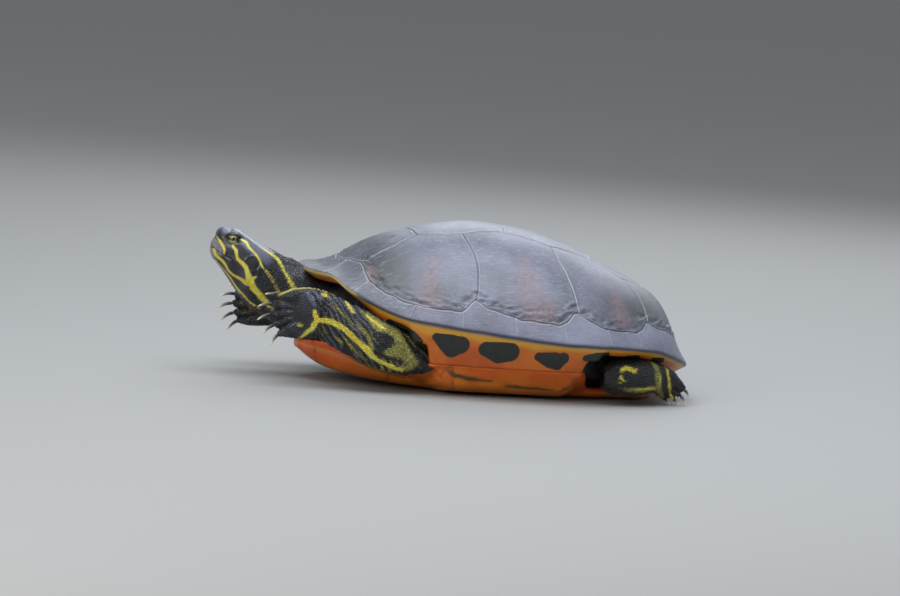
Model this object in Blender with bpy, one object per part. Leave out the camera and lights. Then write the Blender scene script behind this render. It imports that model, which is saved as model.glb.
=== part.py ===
"""Red-bellied cooter at rest, life size: shell, head, neck, trunk, legs, claws and tail as closed solids.

The turtle lies on its plastron with its head towards -X, its tail towards +X and its left side towards -Y.
The origin is on the floor under the middle of the shell.  Sizes below are in millimetres; MM turns them
into metres when a mesh is made.
"""
import math

import bmesh
import bpy
import numpy as np
from mathutils import Vector

MM = 0.001
GAP = 0.3                    # clearance between neighbouring solids

# --- driving dimensions of the shell
SHELL_LENGTH = 280.0         # straight carapace length, front rim to rear rim
SHELL_WIDTH = 204.0
WIDEST_X = 25.0              # the shell is widest a little behind its middle
FRONT_FULLNESS = 2.35        # superellipse exponents of the outline seen from above
REAR_FULLNESS = 2.1
RIM_THICKNESS = 2.8
WALL = 4.5
MARGIN_LIP = 2.6             # the marginals hang this much below the wall inside the openings
INNER_SCALE = 0.94           # the hollow of the carapace against its outside
DOME_CENTRE_X = -10.0
RIM_POINTS = 64              # points round the rim
MARGIN_DEPTH = 12.0          # width of the marginal plates' underside at the bridge
BRIDGE_TOP = 22.5            # height of the seam between marginals and bridge
BRIDGE_FRONT = -58.0         # ends of the bridge at that seam
BRIDGE_REAR = 62.0
BRIDGE_FRONT_SLANT = 22.0    # the ends lean outwards up to the rim
BRIDGE_REAR_SLANT = 12.0

# heights along the shell: (x, z)
MIDLINE = [(-140, 78.9), (-128, 80.6), (-119, 83.8), (-111, 87.2), (-104, 91.6), (-86, 101.6), (-67, 108),
           (-43, 113.3), (-18, 115.9), (16, 112.7), (47, 104.2), (79, 90.4), (100, 80.4), (113, 71.8),
           (119, 64), (124, 52.5), (131, 37.5), (140, 25.3)]
RIM = [(-140, 76.1), (-129, 76.0), (-115, 67), (-91, 56.5), (-76, 52.2), (-39, 48), (33, 41.6), (64, 40.5),
       (97, 38.3), (123, 31), (140, 22.5)]

# the plastron: (x, half width), (x, height of its underside), (x, height of its edge above the underside)
PLASTRON_LOBES = [(-138, 12), (-134, 23), (-124, 35), (-102, 46), (-78, 51), (-62, 56), (64, 56), (78, 50),
                  (95, 47), (108, 37), (118, 18)]
PLASTRON_UNDERSIDE = [(-138, 20.5), (-125, 11.5), (-108, 6.8), (-85, 3.4), (-63, 1.6), (-35, 0), (102, 0),
                      (118, 2)]
PLASTRON_EDGE = [(-138, 7), (-130, 14.5), (-120, 19), (-107, 17.5), (-90, 12.5), (-68, 9.5), (60, 9), (118, 8)]
PLASTRON_THICKNESS = 8.5
BED_CLEARANCE = 2.0          # between the trunk and the inside of the plastron

# --- head: distances along its axis (s) and across it (n) from a point in front of the beak
HEAD_ORIGIN = (-206.0, 91.0)
HEAD_PITCH = math.radians(35)
HEAD_STATIONS = [            # (s, top, bottom, half width)
    (0.8, 12.6, 2.5, 4.8), (2.0, 15.6, -1.0, 7.2), (4, 17.3, -3.8, 9.0), (7.5, 18.9, -6.2, 11.2),
    (12, 20.2, -7.6, 13.3), (18, 21.0, -9.0, 15.4), (25, 21.5, -11.2, 17.3), (32, 22.6, -13.6, 18.3),
    (38, 24.0, -15.4, 18.6), (42, 24.9, -16.4, 18.5)]
HEAD_SQUARENESS = 2.35
CHIN_TAPER = 0.24            # the jaw is narrower than the skull
EYE_PLACE = (10.0, 12.6)     # (s, n)
EYE_RADIUS = 5.3
EYE_SINK = 5.1               # depth of the eye's centre below the side of the head
BEAK_LENGTH = 13.0
MOUTH = [(-4.0, -1.6), (BEAK_LENGTH, -0.6)]

# --- neck: (top x, top z, bottom x, bottom z, half width)
NECK_STATIONS = [
    (-151.8, 84.5, -176.6, 49.3, 18.3), (-146.6, 80.2, -167.5, 43.5, 19.0), (-142.6, 75.2, -156.5, 37.0, 20.5),
    (-136.0, 71.4, -143.0, 31.6, 22.5), (-124.0, 69.6, -127.0, 28.0, 25.5), (-112.0, 69.6, -112.0, 24.0, 28.0)]

# --- legs: centre line, half height and half thickness at each station; left side (y is mirrored for the right)
FOREARM = [                  # elbow to wrist
    (-67, -73, 22.5, 8, 7), (-73, -74.5, 25, 12.5, 9.5), (-82, -75.5, 29, 15.5, 11), (-94, -74, 33.5, 17, 12.5),
    (-109, -69.5, 40, 17, 12), (-124, -64, 47, 16.5, 10.5), (-134, -61, 51, 16.5, 9)]
HAND = [                     # wrist to the roots of the digits
    (-134, -61, 51, 16.5, 9), (-142, -60, 51.5, 17.8, 7.8), (-152, -59, 50.5, 17.5, 6.8),
    (-161, -58, 48.5, 15.5, 5.2)]
SHANK = [                    # knee to ankle
    (76, -78, 19.5, 9, 8), (81, -78, 19.5, 12.5, 11), (91, -74, 20, 13, 12), (101, -68, 20, 11.5, 11),
    (108.5, -64, 18.9, 9.8, 8.5)]
HIND_FOOT = [                # ankle to the roots of the toes
    (108.5, -64, 18.9, 9.8, 8.5), (115, -62, 15.6, 10.6, 7), (119.3, -61, 11.8, 9.5, 5.5)]
UPPER_ARM = [(-92, -34, 44, 21, 20), (-90, -52, 39, 20, 19), (-88, -68, 34, 16, 17)]
THIGH = [(90, -32, 34, 17, 20), (88, -52, 28.5, 15, 19), (87, -68, 24, 11, 15)]
FAR_HAND_SHIFT = (-9.0, -5.0)      # the right forefoot reaches further forward and lower (x, z)
TAIL = [(113, 0, 21.5, 7, 8), (118, 0.1, 21.4, 6.9, 7.6), (124, 5, 15.5, 6, 6.4), (129, 13, 9.8, 4.8, 4.8),
        (131, 23, 6.0, 3.6, 3.6), (129.5, 33, 3.4, 1.6, 1.6)]

# digits of the left side: toe end and claw tip, from the top edge of the foot to its lower edge
FORE_DIGITS = [
    ((-164.5, -54.5, 62.5), (-172.5, -50.5, 62.0)), ((-167.5, -55.5, 55.5), (-177.5, -54.5, 53.5)),
    ((-168.5, -57.5, 48.5), (-178.0, -59.0, 44.5)), ((-166.5, -60.0, 41.5), (-174.5, -64.0, 35.5)),
    ((-163.0, -62.5, 35.5), (-169.0, -67.5, 28.5))]
HIND_DIGITS = [
    ((128.6, -62.0, 11.4), (132.2, -64.0, 6.4)), ((126.2, -62.0, 6.8), (129.6, -64.5, 2.2)),
    ((121.8, -62.0, 4.4), (125.0, -65.0, 0.9)), ((116.0, -61.5, 4.0), (118.5, -64.0, 0.8))]
PADDLE_EDGE = 0.4            # thickness of a foot at its edges against its middle
DIGIT_RADIUS = 2.9
DIGIT_TAPER = 0.85
DIGIT_ARCH = 0.6
CLAW_RADIUS = 1.7
CLAW_ARCH = 0.7
CLAW_TIP_RADIUS = 0.35

HORN_BLACK = (0.030, 0.032, 0.036)
SHELL_ORANGE = (0.60, 0.13, 0.025)
SKIN_BLACK = (0.028, 0.029, 0.026)
BEAK_OLIVE = (0.20, 0.19, 0.07)
CLAW_PALE = (0.55, 0.50, 0.33)
EYE_DARK = (0.05, 0.05, 0.03)

for old in list(bpy.data.objects):
    bpy.data.objects.remove(old)


def material(name, colour, roughness):
    """A plain Principled finish."""
    finish = bpy.data.materials.new(name)
    finish.use_nodes = True
    shader = finish.node_tree.nodes["Principled BSDF"]
    shader.inputs["Base Color"].default_value = (*colour, 1)
    shader.inputs["Roughness"].default_value = roughness
    shader.inputs["Metallic"].default_value = 0
    return finish


def curve(keys, x):
    """Smooth curve without overshoot through (x, value) keys, read at x."""
    key_x, key_y = np.array(keys, float).T
    step = np.diff(key_x)
    slope = np.diff(key_y) / step
    tangent = np.concatenate([slope[:1], np.zeros(len(slope) - 1), slope[-1:]])
    for i in range(1, len(slope)):
        if slope[i - 1] * slope[i] > 0:
            tangent[i] = 2 * slope[i - 1] * slope[i] / (slope[i - 1] + slope[i])
    i = np.clip(np.searchsorted(key_x, x) - 1, 0, len(step) - 1)
    t = np.clip((x - key_x[i]) / step[i], 0, 1)
    return ((2 * t**3 - 3 * t**2 + 1) * key_y[i] + (t**3 - 2 * t**2 + t) * step[i] * tangent[i]
            + (3 * t**2 - 2 * t**3) * key_y[i + 1] + (t**3 - t**2) * step[i] * tangent[i + 1])


def ease(low, high, x):
    """0 below low, 1 above high, smooth in between."""
    t = np.clip((x - low) / (high - low), 0, 1)
    return t * t * (3 - 2 * t)


def make(name, points, faces, finish, sharp=40):
    """A mesh object from points in millimetres."""
    mesh = bpy.data.meshes.new(name)
    mesh.from_pydata([Vector(p) * MM for p in points], [], faces)
    cleaner = bmesh.new()
    cleaner.from_mesh(mesh)
    bmesh.ops.recalc_face_normals(cleaner, faces=cleaner.faces)
    cleaner.to_mesh(mesh)
    cleaner.free()
    mesh.shade_smooth()
    mesh.set_sharp_from_angle(angle=math.radians(sharp))
    mesh.materials.append(finish)
    item = bpy.data.objects.new(name, mesh)
    bpy.context.scene.collection.objects.link(item)
    return item


def skin_rings(rings, start_pole=None, end_pole=None):
    """Points and faces of a closed loft; an end is a pole or a flat fan from the ring's middle."""
    count = len(rings[0])
    points = [tuple(p) for ring in rings for p in ring]
    faces = []
    for row in range(len(rings) - 1):
        for i in range(count):
            j = (i + 1) % count
            faces.append((row * count + i, row * count + j, (row + 1) * count + j, (row + 1) * count + i))
    for row, pole in ((0, start_pole), (len(rings) - 1, end_pole)):
        tip = pole if pole is not None else np.mean(np.array(rings[row]), axis=0)
        points.append(tuple(tip))
        for i in range(count):
            faces.append((row * count + i, row * count + (i + 1) % count, len(points) - 1))
    return points, faces


def boolean(target, cutter, operation, solver="EXACT"):
    """A live Boolean; the cutter is hidden from the model."""
    step = target.modifiers.new(operation.lower() + "_" + cutter.name, "BOOLEAN")
    step.operation = operation
    step.solver = solver
    step.object = cutter
    cutter.hide_render = True
    cutter.display_type = "WIRE"


# ---------------------------------------------------------------- shell shape

def half_width(x):
    """Half width of the carapace seen from above."""
    front = np.clip((WIDEST_X - x) / (WIDEST_X + SHELL_LENGTH / 2), 0, 1)
    rear = np.clip((x - WIDEST_X) / (SHELL_LENGTH / 2 - WIDEST_X), 0, 1)
    fullness = np.where(x < WIDEST_X, FRONT_FULLNESS, REAR_FULLNESS)
    return SHELL_WIDTH / 2 * (1 - np.maximum(front, rear)**fullness)**(1 / fullness)


def dome_height(x, y):
    """Height of the outer surface of the carapace."""
    rim = curve(RIM, x) + RIM_THICKNESS
    across = np.clip(np.abs(y) / np.maximum(half_width(x), 0.01), 0, 1)
    arch = (1 - (0.955 * across)**2.4)**0.72
    foot = (1 - 0.955**2.4)**0.72
    return rim + (curve(MIDLINE, x) - rim) * (arch - foot) / (1 - foot)


def rim_outline():
    """Points round the rim at equal steps, from the front middle along the left side and back."""
    sweep = np.linspace(0, math.pi, 2001)
    x = -SHELL_LENGTH / 2 * np.cos(sweep)
    y = -half_width(x)
    length = np.concatenate([[0], np.cumsum(np.hypot(np.diff(x), np.diff(y)))])
    even = np.linspace(0, length[-1], RIM_POINTS // 2 + 1)
    left_x, left_y = np.interp(even, length, x), np.interp(even, length, y)
    left_y[[0, -1]] = 0
    return np.concatenate([left_x, left_x[-2:0:-1]]), np.concatenate([left_y, -left_y[-2:0:-1]])


def inward(x, y):
    """Unit vectors from the rim towards the inside, in plan."""
    dx, dy = np.roll(x, -1) - np.roll(x, 1), np.roll(y, -1) - np.roll(y, 1)
    size = np.hypot(dx, dy)
    return -dy / size, dx / size


def bridge_share(x, drop=1.0):
    """1 beside the bridge, 0 at the leg openings; drop is 0 at the rim and 1 at the bridge seam."""
    front = BRIDGE_FRONT - BRIDGE_FRONT_SLANT * (1 - drop)
    rear = BRIDGE_REAR + BRIDGE_REAR_SLANT * (1 - drop)
    return ease(front - 8, front + 3, x) * (1 - ease(rear - 3, rear + 8, x))


def carapace(finish):
    """Domed upper shell: outside, rim, underside of the marginals and the hollow inside."""
    x, y = rim_outline()
    in_x, in_y = inward(x, y)
    rim = curve(RIM, x)
    rings = []

    def scaled(t):
        return DOME_CENTRE_X + t * (x - DOME_CENTRE_X), t * y

    def add(px, py, pz):
        rings.append(np.stack([px, py, pz], axis=1))

    def inner(t):
        outer_x, outer_y = scaled(t)
        px, py = scaled(t * INNER_SCALE)
        return px, py, dome_height(outer_x, outer_y) - WALL

    for t in (0.14, 0.28, 0.42, 0.55, 0.67, 0.77, 0.85, 0.91, 0.955, 0.985, 1.0):
        px, py = scaled(t)
        add(px, py, dome_height(px, py))
    add(x + in_x * 0.6, y + in_y * 0.6, rim)
    for t, depth, drop, drop_at_opening in ((1.0, 0.5, 0.5, 1.0), (0.95, 1.0, 1.0, 1.6), (0.89, 1.45, 0.95, 0.8)):
        px, py, pz = inner(t)
        pz = pz - MARGIN_LIP * drop_at_opening
        bridge_x, bridge_y = x + in_x * MARGIN_DEPTH * depth, y + in_y * MARGIN_DEPTH * depth
        bridge_z = rim + (BRIDGE_TOP - rim) * drop
        share = bridge_share(x, drop)
        add(px + (bridge_x - px) * share, py + (bridge_y - py) * share, pz + (bridge_z - pz) * share)
    for t in (0.8, 0.64, 0.44, 0.22):
        add(*inner(t))
    top = (DOME_CENTRE_X, 0, float(dome_height(np.array([DOME_CENTRE_X]), np.array([0.0]))[0]))
    points, faces = skin_rings(rings, top, (top[0], 0, top[2] - WALL))
    return make("carapace", points, faces, finish, 55)


def plastron_section(x):
    """Half section of the lower shell at x, from the middle of its underside round to its middle inside."""
    lobe = float(curve(PLASTRON_LOBES, x))
    under = float(curve(PLASTRON_UNDERSIDE, x))
    edge = float(curve(PLASTRON_EDGE, x))
    share = float(bridge_share(x))
    seam = float(half_width(x)) - MARGIN_DEPTH
    top = under + PLASTRON_THICKNESS
    hull = ((0, 0), (0.4, 0), (0.72, 0.05), (0.93, 0.28), (1, 0.62), (0.985, 0.88), (0.92, 1))
    lobe_form = [(lobe * y, under + edge * z) for y, z in hull]
    lobe_form += [(lobe * 0.78, max(top - 0.5, under + edge * 0.9)), (lobe * 0.45, top - 1), (0, top - 1.5)]
    rise = BRIDGE_TOP - GAP
    bridge_form = [(0, under), (36, under), (56, under + 1.6), (68, under + 3.4), (78, under + 9), (seam - 0.3, rise),
                   (seam - 5, rise + 0.2), (68, under + 12), (44, top - 0.5), (0, top - 1.5)]
    return [(a[0] + (b[0] - a[0]) * share, a[1] + (b[1] - a[1]) * share) for a, b in zip(lobe_form, bridge_form)]


def plastron(finish):
    """Lower shell: front lobe turned up, flat middle with a bridge on each side, notched rear lobe."""
    stations = [-138, -135, -129, -120, -106, -92, -78, -67, -63, -59, -55, -45, -15, 15, 45, 57, 61, 65, 71, 82,
                95, 104, 112, 118]
    rings = []
    for x in stations:
        half = plastron_section(x)
        ring = [(x, y, z) for y, z in half] + [(x, -y, z) for y, z in half[-2:0:-1]]
        notch = 6.0 * ease(108, 118, x)
        rings.append([(px - notch * (1 - min(1, abs(py) / 9)), py, pz) for px, py, pz in ring])
    points, faces = skin_rings(rings)
    return make("plastron", points, faces, finish, 50)


# ---------------------------------------------------------------- soft body

def frames(stations):
    """Centre, direction, sideways and upward unit vectors at each station of a bent centre line."""
    centre = np.array([s[:3] for s in stations], float)
    along = np.gradient(centre, axis=0)
    along /= np.linalg.norm(along, axis=1)[:, None]
    side = np.cross(along, (0, 0, 1.0))
    side /= np.linalg.norm(side, axis=1)[:, None]
    return centre, along, side, np.cross(side, along)


def tube(stations, points_round, grow=0.0, squareness=2.2):
    """Rings round a bent centre line: (x, y, z, half height, half thickness) at each station."""
    centre, along, side, up = frames(stations)
    rings = []
    for i, station in enumerate(stations):
        ring = []
        for k in range(points_round):
            a = 2 * math.pi * (k + 0.5) / points_round
            c, s = math.cos(a), math.sin(a)
            across = math.copysign(abs(c)**(2 / squareness), c) * (station[4] + grow)
            rise = math.copysign(abs(s)**(2 / squareness), s) * (station[3] + grow)
            ring.append(centre[i] + side[i] * across + up[i] * rise)
        rings.append(ring)
    return rings, along


def placed(p, side, shift=(0, 0)):
    """A point of the left side put on the given side of the body."""
    return (p[0] + shift[0], p[1] * -side, p[2] + shift[1])


def head_point(s, n, y=0.0):
    """From the head's own axes to the turtle's."""
    c, d = math.cos(HEAD_PITCH), math.sin(HEAD_PITCH)
    return (HEAD_ORIGIN[0] + s * c + n * d, y, HEAD_ORIGIN[1] - s * d + n * c)


def head_ring(top, bottom, width, points_round, taper):
    """A closed ring between a top and a bottom point of the head or neck."""
    middle = [(t + b) / 2 for t, b in zip(top, bottom)]
    half = [(t - b) / 2 for t, b in zip(top, bottom)]
    ring = []
    for k in range(points_round):
        a = 2 * math.pi * k / points_round
        c, s = math.cos(a), math.sin(a)
        across = math.copysign(abs(c)**(2 / HEAD_SQUARENESS), c) * width * (1 - taper * max(0.0, -s))
        rise = math.copysign(abs(s)**(2 / HEAD_SQUARENESS), s)
        ring.append((middle[0] + half[0] * rise, across, middle[2] + half[2] * rise))
    return ring


def head_whole(name, finish):
    rings = [head_ring(head_point(s, top), head_point(s, bottom), width, 24, CHIN_TAPER)
             for s, top, bottom, width in HEAD_STATIONS]
    return make(name, *skin_rings(rings), finish, 60)


def prism(name, outline, half_depth, finish):
    """A block whose outline is given on the head's (s, n) plane."""
    ends = [[head_point(s, n, y) for s, n in outline] for y in (-half_depth, half_depth)]
    return make(name, *skin_rings(ends), finish)


def ball(name, centre, radius, finish, rows=8, columns=14):
    rings = []
    for i in range(1, rows):
        a = math.pi * i / rows
        rings.append([(centre[0] + radius * math.sin(a) * math.cos(b), centre[1] - radius * math.cos(a),
                       centre[2] + radius * math.sin(a) * math.sin(b))
                      for b in (2 * math.pi * k / columns for k in range(columns))])
    poles = [(centre[0], centre[1] + way * radius, centre[2]) for way in (-1, 1)]
    return make(name, *skin_rings(rings, *poles), finish, 60)


def head_and_eyes(skin, horn, eye):
    """The head parted into skull, upper and lower beak, with the eyes in their sockets."""
    head = head_whole("head", skin)
    level, back = MOUTH[0][1], MOUTH[1][1]
    reach = BEAK_LENGTH
    upper = [(-4, level + GAP), (reach, back + GAP), (reach, 3.0), (-4, 5.2)]
    lower = [(-4, level), (reach, back), (reach, -4.6), (6, -9.5), (-4, -9.5)]
    around = [(-4.5, 5.2 + GAP), (reach + GAP, 3.0 + GAP), (reach + GAP, -4.6), (6 + GAP, -10), (-4.5, -10)]
    boolean(head, prism("cut_beak", around, 30, skin), "DIFFERENCE")
    for name, outline in (("upper_beak", upper), ("lower_beak", lower)):
        beak = head_whole(name, horn)
        boolean(beak, prism("keep_" + name, outline, 28, horn), "INTERSECT")
    width = float(curve([(s[0], s[3]) for s in HEAD_STATIONS], EYE_PLACE[0])) - EYE_SINK
    for side, name in ((-1, "eye_left"), (1, "eye_right")):
        centre = head_point(*EYE_PLACE, side * width)
        ball(name, centre, EYE_RADIUS, eye)
        boolean(head, ball("socket_" + name, centre, EYE_RADIUS + GAP, eye), "DIFFERENCE")


def neck(skin):
    s, top, bottom, width = HEAD_STATIONS[-1]
    first = (*head_point(s + GAP, top), *head_point(s + GAP, bottom), width)
    rings = [head_ring(first[:3], first[3:6], width, 24, CHIN_TAPER)]
    for i, (top_x, top_z, bottom_x, bottom_z, width) in enumerate(NECK_STATIONS):
        taper = CHIN_TAPER * (1 - (i + 1) / len(NECK_STATIONS))
        rings.append(head_ring((top_x, 0, top_z), (bottom_x, 0, bottom_z), width, 24, taper))
    make("neck", *skin_rings(rings), skin, 60)


def trunk(skin):
    """The body inside the shell, flat where the neck and the tail leave it."""
    rings = []
    for x in (-112 + GAP, -104, -90, -75, -60, -35, 0, 40, 62, 80, 97, 113 - GAP):
        wide = float(half_width(np.array([x]))[0])
        reach = min(wide - 27, 40 + 36 * float(ease(-116, -60, x) * (1 - ease(60, 116, x))))
        bed_y, bed_z = zip(*plastron_section(x)[:5:-1])
        floor = bed_z[0] + BED_CLEARANCE
        ring = []
        for k in range(20):
            a = 2 * math.pi * (k + 0.5) / 20
            c, s = math.cos(a), math.sin(a)
            y = reach * math.copysign(abs(c)**0.75, c)
            outer = DOME_CENTRE_X + (x - DOME_CENTRE_X) / INNER_SCALE
            roof = float(dome_height(np.array([outer]), np.array([y / INNER_SCALE]))[0]) - WALL - 1.5
            roof -= 5 * float(ease(92, 113, x))
            middle = floor + 0.3 * (roof - floor)
            z = middle + (roof - middle) * s**0.8 if s > 0 else middle + (middle - floor) * -abs(s)**0.7
            ring.append((x, y, max(z, np.interp(abs(y), bed_y, bed_z) + BED_CLEARANCE)))
        rings.append(ring)
    return make("trunk", *skin_rings(rings), skin, 60)


def leg_solid(name, stations, finish, points_round=16):
    """One length of leg or tail."""
    rings, _ = tube(stations, points_round)
    return make(name, *skin_rings(rings), finish, 60)


def parted_leg(name, stations, joint, finish):
    """The length of a leg down to the joint, ending in a thin plane cut."""
    rings, along = tube(stations, 16)
    upper = rings[:joint] + [[p - along[joint] * GAP for p in rings[joint]]]
    return make(name, *skin_rings(upper), finish, 60)


def clearance(name, stations, finish):
    """A cutter that is larger than a length of leg by the gap, at its sides and its ends."""
    rings, along = tube(stations, 16, GAP)
    rings[0] = [p - along[0] * GAP for p in rings[0]]
    rings[-1] = [p + along[-1] * GAP for p in rings[-1]]
    return make(name, *skin_rings(rings), finish, 60)


def foot_with_toes(name, claw_name, stations, joint, digits, finish, horn):
    """A paddle from the joint outwards whose end divides into toes, and a claw beyond each toe."""
    centre, along, side, up = frames(stations)
    toes = len(digits)
    last = len(stations) - 1
    levels = np.linspace(1, -1, 2 * toes + 1)
    points, faces = [], []
    for i in range(joint, last + 1):
        height, thickness = stations[i][3:5]
        for way in (1, -1):
            for level in levels[::way]:
                edge = thickness * (PADDLE_EDGE + (1 - PADDLE_EDGE) * math.sqrt(1 - level**2))
                points.append(centre[i] + up[i] * height * level + side[i] * edge * way)
    count = 2 * len(levels)
    for row in range(last - joint):
        for k in range(count):
            j = (k + 1) % count
            faces.append((row * count + k, row * count + j, (row + 1) * count + j, (row + 1) * count + k))
    faces.append(tuple(range(count)))
    start = (last - joint) * count
    for number, (end, tip) in enumerate(digits):
        k = 2 * number
        root = [start + k, start + k + 1, start + k + 2,
                start + count - 3 - k, start + count - 2 - k, start + count - 1 - k]
        root_middle = np.mean([points[r] for r in root], axis=0)
        end, tip = np.array(end), np.array(tip)
        knuckle = (root_middle + end) / 2 + np.array((0, 0, DIGIT_ARCH))
        bend = (end + tip) / 2 + np.array((0, 0, CLAW_ARCH))
        line = [(*p, 0, 0) for p in (root_middle, knuckle, end, bend, tip)]
        middles, forward, across, lift = frames(line)

        def hexagon(i, radius, push=0.0):
            return [middles[i] + forward[i] * push + across[i] * radius * math.cos(math.radians(a))
                    + lift[i] * radius * math.sin(math.radians(a)) for a in (60, 0, -60, -120, 180, 120)]

        for i, radius in ((1, DIGIT_RADIUS), (2, DIGIT_RADIUS * DIGIT_TAPER)):
            ring = list(range(len(points), len(points) + 6))
            points.extend(hexagon(i, radius))
            faces.extend((root[q], root[(q + 1) % 6], ring[(q + 1) % 6], ring[q]) for q in range(6))
            root = ring
        faces.append(tuple(root))
        claw = [hexagon(2, CLAW_RADIUS, GAP), hexagon(3, CLAW_RADIUS * 0.7), hexagon(4, CLAW_TIP_RADIUS)]
        make(f"{claw_name}_{number + 1}", *skin_rings(claw), horn, 60)
    return make(name, points, faces, finish, 60)


def build():
    shell_top = material("carapace_horn", HORN_BLACK, 0.35)
    shell_under = material("plastron_horn", SHELL_ORANGE, 0.4)
    skin = material("skin", SKIN_BLACK, 0.5)
    beak = material("beak_horn", BEAK_OLIVE, 0.4)
    claw = material("claw_horn", CLAW_PALE, 0.4)
    eye = material("eye", EYE_DARK, 0.05)

    carapace(shell_top)
    plastron(shell_under)
    head_and_eyes(skin, beak, eye)
    neck(skin)
    body = trunk(skin)
    for side, word in ((-1, "left"), (1, "right")):
        shift = (0, 0) if side < 0 else FAR_HAND_SHIFT
        wrist = len(FOREARM) - 1
        foreleg = [placed(p, side, [d * min(i / wrist, 1) for d in shift]) + p[3:]
                   for i, p in enumerate(FOREARM + HAND[1:])]
        parted_leg("forearm_" + word, foreleg, wrist, skin)
        toes = [[placed(p, side, shift) for p in digit] for digit in FORE_DIGITS]
        foot_with_toes("forefoot_" + word, "claw_fore_" + word, foreleg, wrist, toes, skin, claw)
        upper_arm = [placed(p, side) + p[3:] for p in UPPER_ARM]
        arm = leg_solid("upper_arm_" + word, upper_arm, skin)
        forearm_room = clearance("forearm_room_" + word, foreleg[:wrist + 1], skin)
        boolean(arm, forearm_room, "DIFFERENCE")

        ankle = len(SHANK) - 1
        hind_leg = [placed(p, side) + p[3:] for p in SHANK + HIND_FOOT[1:]]
        parted_leg("shank_" + word, hind_leg, ankle, skin)
        toes = [[placed(p, side) for p in digit] for digit in HIND_DIGITS]
        foot_with_toes("hindfoot_" + word, "claw_hind_" + word, hind_leg, ankle, toes, skin, claw)
        upper_leg = [placed(p, side) + p[3:] for p in THIGH]
        thigh = leg_solid("thigh_" + word, upper_leg, skin)
        shank_room = clearance("shank_room_" + word, hind_leg[:ankle + 1], skin)
        boolean(thigh, shank_room, "DIFFERENCE")

        for cutter in (forearm_room, shank_room, clearance("arm_room_" + word, upper_arm, skin),
                       clearance("thigh_room_" + word, upper_leg, skin)):
            boolean(body, cutter, "DIFFERENCE", "MANIFOLD")
    leg_solid("tail", TAIL, skin, 12)


build()
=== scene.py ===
"""Red-bellied cooter at rest, life size.

The turtle lies on its plastron with its head towards -X, its tail towards +X and its left side towards -Y.
Sizes are in millimetres unless a comment says otherwise; MM turns them into metres when a mesh is made.
"""
import math

import bmesh
import bpy
import numpy as np
from mathutils import Matrix, Vector
from mathutils.geometry import delaunay_2d_cdt


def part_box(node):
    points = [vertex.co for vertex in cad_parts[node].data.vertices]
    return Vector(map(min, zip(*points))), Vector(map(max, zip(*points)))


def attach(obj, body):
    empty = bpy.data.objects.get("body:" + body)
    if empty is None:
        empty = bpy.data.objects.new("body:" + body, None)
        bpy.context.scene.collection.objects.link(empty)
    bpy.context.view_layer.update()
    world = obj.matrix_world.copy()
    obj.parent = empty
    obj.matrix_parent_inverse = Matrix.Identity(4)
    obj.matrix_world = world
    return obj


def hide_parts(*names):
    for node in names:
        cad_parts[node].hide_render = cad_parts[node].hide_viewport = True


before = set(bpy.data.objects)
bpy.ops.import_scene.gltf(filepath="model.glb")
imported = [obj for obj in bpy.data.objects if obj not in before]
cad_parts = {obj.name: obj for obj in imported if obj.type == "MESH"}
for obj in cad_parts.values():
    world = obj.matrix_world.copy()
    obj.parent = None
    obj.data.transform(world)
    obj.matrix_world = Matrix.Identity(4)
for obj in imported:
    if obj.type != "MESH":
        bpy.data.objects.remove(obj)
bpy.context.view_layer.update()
MM = 0.001

# ---------------------------------------------------------------- skin
# One skin covers head, neck, trunk, legs and tail.  It is fused from the solids of the flesh so that no joint
# shows, lies under them by the depth of the scales, and is then folded and given lids, nostrils and mouth.
COAT_DEPTH = 0.35
FUSE_GROW = 0.4              # the solids are grown by this much before they are fused, to close their gaps
FUSE_STEP = 1.4
FUSE_STEP_REAR = 1.5
TRUNK_CUTS = (-72.0, 74.0)   # between these the trunk is hidden in the shell and stays coarse
HEAD_PITCH = math.radians(35)
HEAD_ORIGIN = np.array([-206.0, 0.0, 91.0])
HEAD_ALONG = np.array([math.cos(HEAD_PITCH), 0, -math.sin(HEAD_PITCH)])
HEAD_UP = np.array([math.sin(HEAD_PITCH), 0, math.cos(HEAD_PITCH)])
EYE_RADIUS = 5.3
LID_REACH = 8.2              # from the middle of the eye
LID_THICKNESS = 0.60
MOUTH_LINE = [(-1.5, -1.30), (13, -0.45), (15.2, -0.1), (17.6, 0.2), (19.8, -1.9)]   # in the head's own (s, n)
EYE_OPENING = (4.80, 2.50, -0.40, 9.0)   # half length, half height, height of its middle, tilt in degrees


def ease(low, high, x):
    """0 below low, 1 above high, smooth in between."""
    t = np.clip((x - low) / (high - low), 0, 1)
    return t * t * (3 - 2 * t)


def hump(distance, width, aside=0.0, breadth=1.0):
    """1 where the distance is 0, nothing beyond about twice the width; with a second distance it is a spot."""
    return np.exp(-(distance / width)**2 - (aside / breadth)**2)


def hash01(cell, seed):
    """A repeatable random number from 0 to 1 for each whole-number cell."""
    n = (cell[..., 0] * 73856093) ^ (cell[..., 1] * 19349663) ^ (cell[..., 2] * 83492791) ^ (seed * 2654435761)
    n = (n ^ (n >> 13)) * 1274126177 & 0xFFFFFFFF
    return ((n ^ (n >> 16)) & 0xFFFFFF) / 0xFFFFFF


def noise(p, size, seed=1):
    """Smooth noise from -1 to 1 whose blobs are about size across."""
    q = p / size + 1000.0
    cell = np.floor(q).astype(np.int64)
    f = q - cell
    f = f * f * (3 - 2 * f)
    total = 0
    for dx in (0, 1):
        for dy in (0, 1):
            for dz in (0, 1):
                weight = (np.where(dx, f[:, 0], 1 - f[:, 0]) * np.where(dy, f[:, 1], 1 - f[:, 1])
                          * np.where(dz, f[:, 2], 1 - f[:, 2]))
                total = total + weight * hash01(cell + (dx, dy, dz), seed)
    return total * 2 - 1


def wandering(p, size, reach, seeds):
    """A smooth shift of each point along as many axes as there are seeds."""
    return np.stack([noise(p, size, seed) for seed in seeds], axis=1) * reach


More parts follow.
